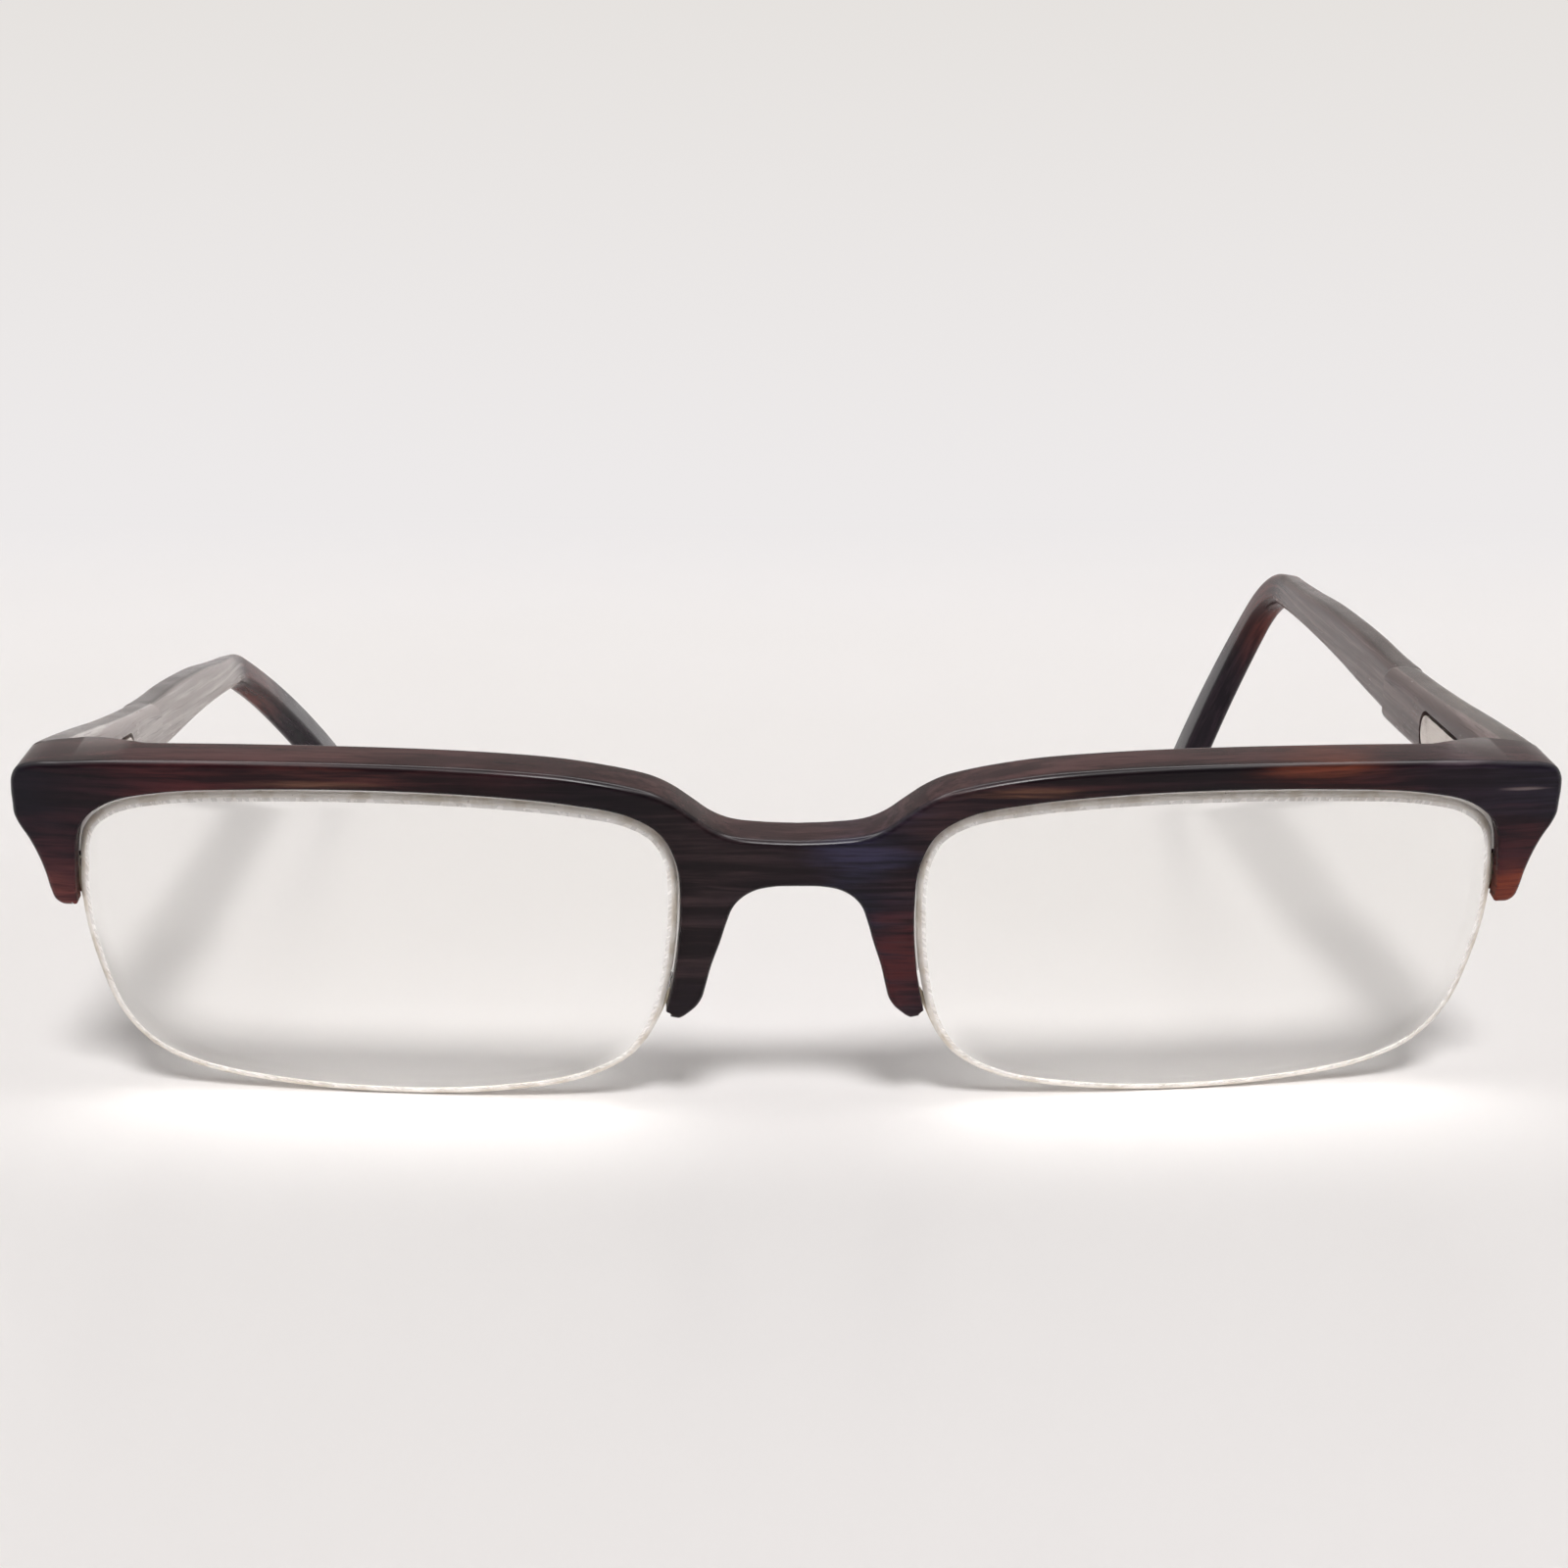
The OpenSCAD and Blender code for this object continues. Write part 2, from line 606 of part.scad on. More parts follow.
// Temple frame: along its length, outward, and up
function temple_along(pitch) = [sin(splay) * cos(pitch), cos(splay) * cos(pitch), sin(pitch)];
temple_out = [cos(splay), -sin(splay), 0];
function temple_up(pitch) = cross(temple_out, temple_along(pitch));
temple_origin = [temple_cx, seat_y, hinge_z];

// Turned by an angle in the plane of the two directions, which stay square: [along, up]
function bent(t, h, a) = [t * cos(a) - h * sin(a), h * cos(a) + t * sin(a)];
function bow_point(t, h, radius, a) = radius * (t * sin(a) - h * (1 - cos(a)));

// Centre line and section axes at a length s: [centre, outward, up]
function temple_axes(s, pitch, bend, lean_in) =
    let (
        t0 = temple_along(pitch), l0 = temple_out, h0 = temple_up(pitch),
        h1 = h0 * cos(lean_in) + l0 * sin(lean_in),
        l1 = l0 * cos(lean_in) - h0 * sin(lean_in),
        arc_len = arc_length(bend_radius, bend),
        ear_a = min(max(s - bend_start, 0), arc_len) / arc_len * bend,
        tip_a = max(s - bend_start - arc_len, 0) / tip_radius * 180 / PI,
        ear = bent(t0, h1, ear_a),
        tip = bent(ear[0], ear[1], tip_a),
        centre = temple_origin + t0 * min(s, bend_start)
            + bow_point(t0, h1, bend_radius, ear_a) + bow_point(ear[0], ear[1], tip_radius, tip_a),
        roll = lean_in * smooth((s - bend_start + bend_radius) / (2 * bend_radius)),
        spare = s < bend_start ? roll : roll - lean_in,
        side = s < bend_start ? l0 : l1,
        up = s < bend_start ? h0 : tip[1]
    )
    [centre, side * cos(spare) - up * sin(spare), up * cos(spare) + side * sin(spare)];

// Edges of the section at a length s: [top, bottom, inner, outer]
function table_at(x, i = 0) =
    x <= temple_edge_shares[i + 1][0] || i >= len(temple_edge_shares) - 2
    ? let (
        last = len(temple_edge_shares) - 1,
        a = temple_edge_shares[max(i - 1, 0)], b = temple_edge_shares[i],
        c = temple_edge_shares[i + 1], d = temple_edge_shares[min(i + 2, last)],
        u = (x - b[0]) / (c[0] - b[0]),
        mb = (c - a) / (c[0] - a[0]) * (c[0] - b[0]),
        mc = (d - b) / (d[0] - b[0]) * (c[0] - b[0])
    )
    b * (2 * pow(u, 3) - 3 * pow(u, 2) + 1) + mb * (pow(u, 3) - 2 * pow(u, 2) + u)
    + c * (3 * pow(u, 2) - 2 * pow(u, 3)) + mc * (pow(u, 3) - pow(u, 2))
    : table_at(x, i + 1);
function temple_edges(s) =
    let (
        e = table_at(min(s, temple_len) / temple_len),
        block = temple_step * (1 - smooth((s - step_at) / (fit_gap * 8))),
        left = (s - temple_len + tip_round) / tip_round,
        end = left > 0 ? sqrt(1 - left * left * 0.985) : 1
    )
    [e[1] * temple_h * end, e[2] * temple_h * end,
     (e[3] * temple_t + block) * sqrt(end), e[4] * temple_t * sqrt(end)];

// Ring of a rounded section around the centre line
function temple_ring(s, pitch, bend, lean_in) =
    let (
        axes = temple_axes(s, pitch, bend, lean_in),
        e = temple_edges(s),
        r = min(e[0] + e[1], e[2] + e[3]) * 0.3,
        corners = [[e[3], e[0], 0], [-e[2], e[0], 90], [-e[2], -e[1], 180], [e[3], -e[1], 270]]
    )
    [for (c = corners, k = [0:corner_steps])
        let (
            a = c[2] + 90 * k / corner_steps,
            x = c[0] - sign(c[0]) * r + r * cos(a),
            y = c[1] - sign(c[1]) * r + r * sin(a)
        )
        axes[0] + axes[1] * x + axes[2] * y];

function temple_stops(bend) =
    let (arc_len = arc_length(bend_radius, bend), tip_from = bend_start + arc_len)
    concat(
        [for (k = [-1:5]) step_at * k / 6],
        [step_at - fit_gap * 4, step_at, step_at + fit_gap * 4, step_at + fit_gap * 8],
        [for (k = [1:7]) mix(step_at, bend_start, k / 7)],
        [for (k = [1:bend_steps]) bend_start + arc_len * k / bend_steps],
        [for (k = [1:tip_steps]) mix(tip_from, temple_len - tip_round, k / tip_steps)],
        [for (k = [1:tip_round_steps]) temple_len - tip_round * (1 - sin(90 * k / tip_round_steps))]
    );
function temple_rings(pitch, bend, lean_in) =
    [for (s = temple_stops(bend)) temple_ring(s, pitch, bend, lean_in)];

// Bend angle at which the tip just touches the surface that the lenses stand on
function tip_low(pitch, bend, lean_in) =
    min([for (r = [temple_len - 2 * tip_round : tip_round / 6 : temple_len],
        p = temple_ring(r, pitch, bend, lean_in)) p[2]]);
function settled_bend(pitch, lean_in, low = 2, high = 80, n = settle_steps) =
    n == 0 ? (low + high) / 2
    : let (m = (low + high) / 2)
    tip_low(pitch, m, lean_in) > 0
    ? settled_bend(pitch, lean_in, m, high, n - 1)
    : settled_bend(pitch, lean_in, low, m, n - 1);
left_bend = settled_bend(left_pitch, left_tip_lean);
right_bend = settled_bend(right_pitch, right_tip_lean);

// Children drawn in the temple's own frame: X outward, Y along, Z up
module in_temple(pitch) {
    translate(temple_origin)
        rotate([0, 0, -splay])
            rotate([pitch, 0, 0])
                children();
}

// A round bar bent down from Y about a centre below the origin, between two angles
module bent_bar(radius, bend_r, from, to) {
    translate([0, 0, -bend_r])
        rotate([0, 90, 0])
            rotate([0, 0, 180 - to])
                rotate_extrude(angle = to - from, $fn = fine * 2)
                    translate([bend_r, 0])
                        circle(r = radius, $fn = fine);
}

// Core wire: straight, bent round the ear and then curved with the tip. The ear bend is drawn a
// little thinner than the lengths beside it, which reach into it.
module wire(pitch, bend, lean_in, radius) {
    lap = radius / 4;
    tip_len = wire_end - bend_start - arc_length(bend_radius, bend);
    in_temple(pitch)
        rotate([0, lean_in, 0]) {
            translate([0, wire_start, 0])
                rotate([-90, 0, 0])
                    cylinder(r = radius, h = bend_start - wire_start + lap, $fn = fine);
            translate([0, bend_start, 0]) {
                bent_bar(radius * wire_bend_share, bend_radius, 0, bend);
                translate([0, 0, -bend_radius])
                    rotate([-bend, 0, 0])
                        translate([0, 0, bend_radius])
                            bent_bar(radius, tip_radius, -arc_angle(tip_radius, lap),
                                arc_angle(tip_radius, tip_len + radius));
            }
        }
}

// Outline of the leaf's pocket and of the leaf, a strip with one round end
module strip(from, to, height, depth) {
    translate([0, from, -height / 2])
        cube([depth, to - from - height / 2, height]);
    translate([0, to - height / 2, 0])
        rotate([0, 90, 0])
            cylinder(d = height, h = depth, $fn = fine);
}

tang_w = wire_r * 2;
tang_h = leaf_h * 0.5;
tang_at = wire_start - tang_w;
leaf_drop = (pocket_h - leaf_h) / 2;

// Solid that the temple leaves for the leaf: the routed pocket and the slot for its tang
module leaf_room() {
    translate([-temple_inner - overrun, 0, 0])
        strip(-overrun, leaf_len + leaf_drop + seat_gap, pocket_h, overrun + leaf_t + fit_gap);
    translate([-temple_inner, tang_at - fit_gap, -tang_h / 2 - fit_gap])
        cube([temple_inner + wire_r + fit_gap, tang_w + fit_gap, tang_h + 2 * fit_gap]);
}

module temple(pitch, bend, lean_in) {
    difference() {
        swept(temple_rings(pitch, bend, lean_in), 4 * (corner_steps + 1), true);
        translate([0, seat_gap, 0])
            mirror_seat();
        in_temple(pitch) leaf_room();
        hinge_well(well_r);
        web_notch();
        wire(pitch, bend, lean_in, wire_r + fit_gap);
    }
}

// Everything in front of the plane that the temple ends on
module mirror_seat() {
    translate([temple_cx - overrun, seat_y, hinge_z])
        rotate([lean, 0, 0])
            translate([0, -overrun * 2, -overrun])
                cube([overrun * 2, overrun * 2, overrun * 2]);
}

module barrel(level, bore_r) {
    translate([hinge_x, axis_y, hinge_z - hinge_h / 2 + level * (barrel_h + barrel_gap)])
        difference() {
            children();
            translate([0, 0, -barrel_h])
                cylinder(r = bore_r, h = 3 * barrel_h, $fn = fine);
        }
}

// Front leaf: plate flush with the lug, anchor, and the three barrels that stay with the front. Each
// barrel's web reaches the leaning plate at its own height.
module front_leaf() {
    bore_r = screw_r + fit_gap / 2;
    on_seat(front_leaf_from) {
        translate([0, -leaf_t - fit_gap, -leaf_rise / 2])
            cube([front_leaf_w, leaf_t, leaf_rise]);
        translate([(front_leaf_w - anchor_w) / 2, -leaf_t - fit_gap - anchor_depth, -anchor_h / 2])
            cube([anchor_w, anchor_depth + leaf_t / 2, anchor_h]);
    }
    for (level = [0, 2, 4]) {
        reach = axis_gap + (level - 2) * barrel_pitch * tan(lean) + leaf_t / 4;
        barrel(level, bore_r)
            union() {
                cylinder(r = barrel_r, h = barrel_h, $fn = fine);
                translate([-web_w / 2, -reach, 0])
                    cube([web_w, reach, barrel_h]);
            }
    }
}

// Temple leaf: strip in the pocket, tang that holds the wire, and the two barrels that turn
module temple_leaf(pitch) {
    bore_r = screw_r + fit_gap;
    strip_from = axis_gap + barrel_r + seat_gap;
    in_temple(pitch) {
        translate([-temple_inner, 0, 0])
            strip(strip_from, leaf_len, leaf_h, leaf_t);
        translate([leaf_t / 2 - temple_inner, tang_at, -tang_h / 2])
            cube([temple_inner - leaf_t / 2 + wire_r, tang_w, tang_h]);
    }
    for (level = [1, 3])
        barrel(level, bore_r)
            union() {
                cylinder(r = barrel_r, h = barrel_h, $fn = fine);
                translate([barrel_r - hinge_sink, 0, 0])
                    cube([leaf_t, barrel_r + seat_gap * 3, barrel_h]);
            }
}

// Screw with a slotted head, down through the five barrels
module hinge_screw() {
    top = hinge_z + hinge_h / 2;
    difference() {
        union() {
            translate([hinge_x, axis_y, top - hinge_h])
                cylinder(r = screw_r, h = hinge_h + screw_head_h / 2, $fn = fine);
            translate([hinge_x, axis_y, top + fit_gap])
                cylinder(r = screw_head_r, h = screw_head_h, $fn = fine);
        }
        translate([hinge_x - screw_head_r - fit_gap, axis_y - screw_slot_w / 2,
            top + fit_gap + screw_head_h / 2])
            cube([2 * (screw_head_r + fit_gap), screw_slot_w, screw_head_h]);
    }
}

module left_temple() {
    color(horn_colour) temple(left_pitch, left_bend, left_tip_lean);
}

module right_temple() {
    color(horn_colour) mirror([1, 0, 0]) temple(right_pitch, right_bend, right_tip_lean);
}

module left_core_wire() {
    color(metal_colour) wire(left_pitch, left_bend, left_tip_lean, wire_r);
}

module right_core_wire() {
    color(metal_colour)
        mirror([1, 0, 0]) wire(right_pitch, right_bend, right_tip_lean, wire_r);
}

module left_front_leaf() {
    color(metal_colour) front_leaf();
}

module right_front_leaf() {
    color(metal_colour) mirror([1, 0, 0]) front_leaf();
}

module left_temple_leaf() {
    color(metal_colour) temple_leaf(left_pitch);
}

module right_temple_leaf() {
    color(metal_colour) mirror([1, 0, 0]) temple_leaf(right_pitch);
}

module left_hinge_screw() {
    color(metal_colour) hinge_screw();
}

module right_hinge_screw() {
    color(metal_colour) mirror([1, 0, 0]) hinge_screw();
}

// The origin is the middle of the ground that the glasses cover
function reach_y(pitch, bend, lean_in) =
    max([for (r = temple_rings(pitch, bend, lean_in), p = r) p[1]]);
front_y = min([for (s = half_stations, p = front_section(s)) place(p[0], p[1], p[2])[1]]);
rear_y = max(reach_y(left_pitch, left_bend, left_tip_lean),
    reach_y(right_pitch, right_bend, right_tip_lean));
module on_ground() {
    translate([0, -(front_y + rear_y) / 2, 0]) children();
}

on_ground() brow_front();
on_ground() left_lens();
on_ground() right_lens();
on_ground() left_nylon_cord();
on_ground() right_nylon_cord();
on_ground() left_rim_liner();
on_ground() right_rim_liner();
on_ground() left_temple();
on_ground() right_temple();
on_ground() left_core_wire();
on_ground() right_core_wire();
on_ground() left_front_leaf();
on_ground() right_front_leaf();
on_ground() left_temple_leaf();
on_ground() right_temple_leaf();
on_ground() left_hinge_screw();
on_ground() right_hinge_screw();
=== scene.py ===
"""Half-rim reading glasses with cord-held lenses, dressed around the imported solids.

The horn-look front, the temples, the lenses, the liners and the cords are smooth surfaces worked out
from the same drawing as the solids. The hinge leaves, the screws and the core wires are the solids.
Lengths in the drawings are millimetres; the meshes are in metres.
"""

import logging
import math
from dataclasses import dataclass
from enum import Enum

import bmesh
import bpy
import numpy as np
from mathutils import Matrix, Vector


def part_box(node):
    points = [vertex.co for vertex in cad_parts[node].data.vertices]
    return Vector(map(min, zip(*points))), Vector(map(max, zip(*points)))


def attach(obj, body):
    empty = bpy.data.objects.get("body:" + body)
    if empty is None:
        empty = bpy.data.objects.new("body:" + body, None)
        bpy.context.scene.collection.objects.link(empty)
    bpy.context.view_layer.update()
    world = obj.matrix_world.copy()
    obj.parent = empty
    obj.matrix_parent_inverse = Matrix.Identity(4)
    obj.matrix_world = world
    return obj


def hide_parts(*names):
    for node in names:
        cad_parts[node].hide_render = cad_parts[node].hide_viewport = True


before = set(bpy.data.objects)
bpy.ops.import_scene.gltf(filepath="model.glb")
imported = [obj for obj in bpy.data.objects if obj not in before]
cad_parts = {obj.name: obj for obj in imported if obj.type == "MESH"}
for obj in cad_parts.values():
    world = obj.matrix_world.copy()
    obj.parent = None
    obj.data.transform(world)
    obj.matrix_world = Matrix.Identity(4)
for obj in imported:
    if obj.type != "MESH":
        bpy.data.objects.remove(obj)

LOG = logging.getLogger("reading_glasses")
MM = 0.001
PLASTIC_IOR = 1.5
Array = np.ndarray
Colour = tuple[float, float, float]
Socket = bpy.types.NodeSocket


class Side(Enum):
    """The wearer's side, as the sign of X."""

    LEFT = 1
    RIGHT = -1

    @property
    def word(self) -> str:
        """The side's name as the parts carry it."""
        return self.name.lower()


def tone(red: int, green: int, blue: int) -> Colour:
    """A colour as a display shows it, from 0 to 255, turned into the linear values of a shader.

    Args:
        red: red as displayed.
        green: green as displayed.
        blue: blue as displayed.

    Returns:
        The linear colour.
    """
    shown = np.array([red, green, blue], float) / 255
    linear = np.where(shown <= 0.04045, shown / 12.92, ((shown + 0.055) / 1.055) ** 2.4)
    return tuple(float(c) for c in linear)


def blend(low: Array, high: Array, share: Array) -> Array:
    """Straight blend: low plus the share of the way to high."""
    return low + (high - low) * share


def smooth(share: Array) -> Array:
    """Smooth step: three times the square less twice the cube of the share, held from 0 to 1."""
    held = np.clip(share, 0, 1)
    return held * held * (3 - 2 * held)


def unit(rows: Array) -> Array:
    """Every row divided by its own length."""
    return rows / np.linalg.norm(rows, axis=-1, keepdims=True)


def four_point_curve(before: Array, start: Array, end: Array, after: Array, share: Array) -> Array:
    """A point between start and end on the smooth curve through four points.

    The curve's knots are spaced by the square root of the flat distance between the points, and each
    blend of two neighbours is blended again with the next, three times over.

    Args:
        before: points ahead of the stretch, one row each.
        start: points that the stretches begin at.
        end: points that the stretches end at.
        after: points behind the stretch.
        share: place in each stretch, from 0 to 1, in one column.

    Returns:
        The points on the curve, one row each.
    """

    def root_gap(p: Array, q: Array) -> Array:
        """The square root of the flat distance between two points."""
        return np.sqrt(np.linalg.norm((q - p)[..., :2], axis=-1))[..., None]

    first = root_gap(before, start)
    second = first + root_gap(start, end)
    third = second + root_gap(end, after)
    knot = blend(first, second, share)
    ab = blend(before, start, knot / first)
    bc = blend(start, end, (knot - first) / (second - first))
    cd = blend(end, after, (knot - second) / (third - second))
    abc = blend(ab, bc, knot / second)
    bcd = blend(bc, cd, (knot - first) / (third - first))
    return blend(abc, bcd, (knot - first) / (second - first))


def open_curve(rows: Array, steps: int) -> Array:
    """A smooth curve through rows, with the same number of steps from each row to the next.

    Args:
        rows: the points, the first two columns being places in the plane.
        steps: steps from a row to the next.

    Returns:
        The curve's points, the last row included.
    """
    ends = np.vstack([2 * rows[0] - rows[1], rows, 2 * rows[-1] - rows[-2]])
    share = (np.arange(steps) / steps)[None, :, None]
    stretch = [ends[k : len(ends) - 3 + k][:, None, :] for k in range(4)]
    points = four_point_curve(*stretch, share)
    return np.vstack([points.reshape(-1, rows.shape[1]), rows[-1]])


def new_object(name: str, data: bpy.types.ID) -> bpy.types.Object:
    """Puts a mesh, a light or a camera into the scene, as an object at the origin.

    Args:
        name: the object's name.
        data: the mesh, light or camera.

    Returns:
        The new object.
    """
    made = bpy.data.objects.new(name, data)
    bpy.context.scene.collection.objects.link(made)
    return made


class Surface:
    """Meshes put together from grids of points."""

    @staticmethod
    def quads(rings: int, count: int, start: int = 0) -> Array:
        """Four-sided faces between neighbouring rings, each ring closed on itself.

        Args:
            rings: number of rings.
            count: points in a ring.
            start: number of the first point.

        Returns:
            Rows of four point numbers.
        """
        i = np.arange(rings - 1)[:, None] * count
        j = np.arange(count)[None, :]
        across = (j + 1) % count
        corners = (i + j, i + count + j, i + count + across, i + across)
        return np.stack(corners, axis=-1).reshape(-1, 4) + start

    @staticmethod
    def caps(rings: int, count: int) -> list[list[int]]:
        """A cap on the first ring, and one on the last that faces the other way."""
        last = (rings - 1) * count
        return [list(range(count)), list(range(last, last + count))[::-1]]

    @classmethod
    def capped(cls, rings: int, count: int) -> list[list[int]]:
        """The faces of a run of closed rings, with a cap at both ends."""
        return cls.quads(rings, count).tolist() + cls.caps(rings, count)

    @staticmethod
    def build(name: str, points: Array, faces: list, weld: bool = False) -> bpy.types.Object:
        """An object at the origin with these points, its faces turned outwards.

        Args:
            name: the object's name.
            points: points in millimetres, three columns.
            faces: lists of point numbers.
            weld: true if points in one place are to be merged.

        Returns:
            The new object.
        """
        mesh = bpy.data.meshes.new(name)
        mesh.from_pydata((points.reshape(-1, 3) * MM).tolist(), [], faces)
        body = bmesh.new()
        body.from_mesh(mesh)
        if weld:
            bmesh.ops.remove_doubles(body, verts=body.verts, dist=1e-7)
        bmesh.ops.recalc_face_normals(body, faces=body.faces)
        body.to_mesh(mesh)
        body.free()
        return new_object(name, mesh)

    @staticmethod
    def cut(body: bpy.types.Object, cutters: list[bpy.types.Object]) -> None:
        """Takes solids away from a body and deletes them.

        Args:
            body: the object that is cut.
            cutters: closed solids.
        """
        for cutter in cutters:
            taking = body.modifiers.new("taking", "BOOLEAN")
            taking.operation = "DIFFERENCE"
            taking.solver = "EXACT"
            taking.object = cutter
        bpy.context.view_layer.update()
        ready = body.evaluated_get(bpy.context.evaluated_depsgraph_get())
        mesh = bpy.data.meshes.new_from_object(ready)
        body.modifiers.clear()
        body.data = mesh
        for cutter in cutters:
            bpy.data.objects.remove(cutter)

    @staticmethod
    def finish(body: bpy.types.Object, materials: list[bpy.types.Material], crease: float = 32) -> None:
        """Smooth shading with creases where faces meet sharply, and the body's materials.

        Args:
            body: the object.
            materials: its materials, in the order of the faces' numbers.
            crease: angle in degrees from which an edge stays sharp.
        """
        mesh = body.data
        numbers = np.zeros(len(mesh.polygons), np.int32)
        mesh.polygons.foreach_get("material_index", numbers)
        mesh.materials.clear()
        for material in materials:
            mesh.materials.append(material)
        numbers = np.minimum(numbers, len(materials) - 1)
        mesh.polygons.foreach_set("material_index", numbers)
        mesh.polygons.foreach_set("use_smooth", np.ones(len(mesh.polygons), bool))
        mesh.set_sharp_from_angle(angle=math.radians(crease))
        mesh.update()

    @staticmethod
    def points_of(body: bpy.types.Object) -> Array:
        """The points of an object's mesh.

        Args:
            body: the object.

        Returns:
            Places in millimetres, one row each.
        """
        flat = np.zeros(len(body.data.vertices) * 3, np.float32)
        body.data.vertices.foreach_get("co", flat)
        return flat.reshape(-1, 3).astype(float) / MM

    @staticmethod
    def write_grain(body: bpy.types.Object, grain: Array) -> None:
        """Stores each point's place in the sheet it was cut from, along, across and deep, in mm.

        Args:
            body: the object.
            grain: one row of three values for each point.
        """
        layer = body.data.attributes.new("grain", "FLOAT_VECTOR", "POINT")
        layer.data.foreach_set("vector", grain.astype(np.float32).ravel())


class Cutter:
    """Simple closed solids to cut with, placed by a matrix in millimetres."""

    @staticmethod
    def placed(name: str, points: Array, faces: list, place: Matrix) -> bpy.types.Object:
        """A solid whose points are moved by a matrix.

        Args:
            name: the object's name.
            points: points in the solid's own frame.
            faces: lists of point numbers.
            place: the matrix that takes the points to the model.

        Returns:
            The new object.
        """
        turn = np.array(place)
        return Surface.build(name, points @ turn[:3, :3].T + turn[:3, 3], faces)

    @classmethod
    def box(cls, low: tuple, size: tuple, place: Matrix) -> bpy.types.Object:
        """A block.

        Args:
            low: its lowest corner.
            size: its lengths along X, Y and Z.
            place: the matrix that takes it to the model.

        Returns:
            The new object.
        """
        corners = np.array([[x, y, z] for x in (0, 1) for y in (0, 1) for z in (0, 1)], float)
        faces = [[0, 1, 3, 2], [4, 6, 7, 5], [0, 4, 5, 1], [2, 3, 7, 6], [0, 2, 6, 4], [1, 5, 7, 3]]
        return cls.placed("block_cutter", corners * np.array(size) + np.array(low), faces, place)

    @classmethod
    def rod(cls, radius: float, length: float, place: Matrix, sides: int = 48) -> bpy.types.Object:
        """An upright rod from the origin: points at equal angles round a circle, at both ends.

        Args:
            radius: its radius.
            length: its height.
            place: the matrix that takes it to the model.
            sides: points round the circle.

        Returns:
            The new object.
        """
        angle = np.arange(sides) / sides * 2 * np.pi
        ring = np.stack([np.cos(angle) * radius, np.sin(angle) * radius, angle * 0], axis=1)
        points = np.vstack([ring, ring + [0, 0, length]])
        return cls.placed("rod_cutter", points, Surface.capped(2, sides), place)

    @classmethod
    def strip(cls, start: float, end: float, height: float, depth: float, place: Matrix) -> bpy.types.Object:
        """A flat bar along Y with one round end, its thickness along X from 0.

        Args:
            start: where it begins along Y.
            end: where its round end reaches.
            height: its height along Z.
            depth: its thickness.
            place: the matrix that takes it to the model.

        Returns:
            The new object.
        """
        angle = np.linspace(-np.pi / 2, np.pi / 2, 25)
        half = height / 2
        rim = np.stack([end - half + np.cos(angle) * half, np.sin(angle) * half], axis=1)
        rim = np.vstack([[start, -half], rim, [start, half]])
        near = np.column_stack([np.zeros(len(rim)), rim])
        points = np.vstack([near, near + [depth, 0, 0]])
        return cls.placed("strip_cutter", points, Surface.capped(2, len(rim)), place)


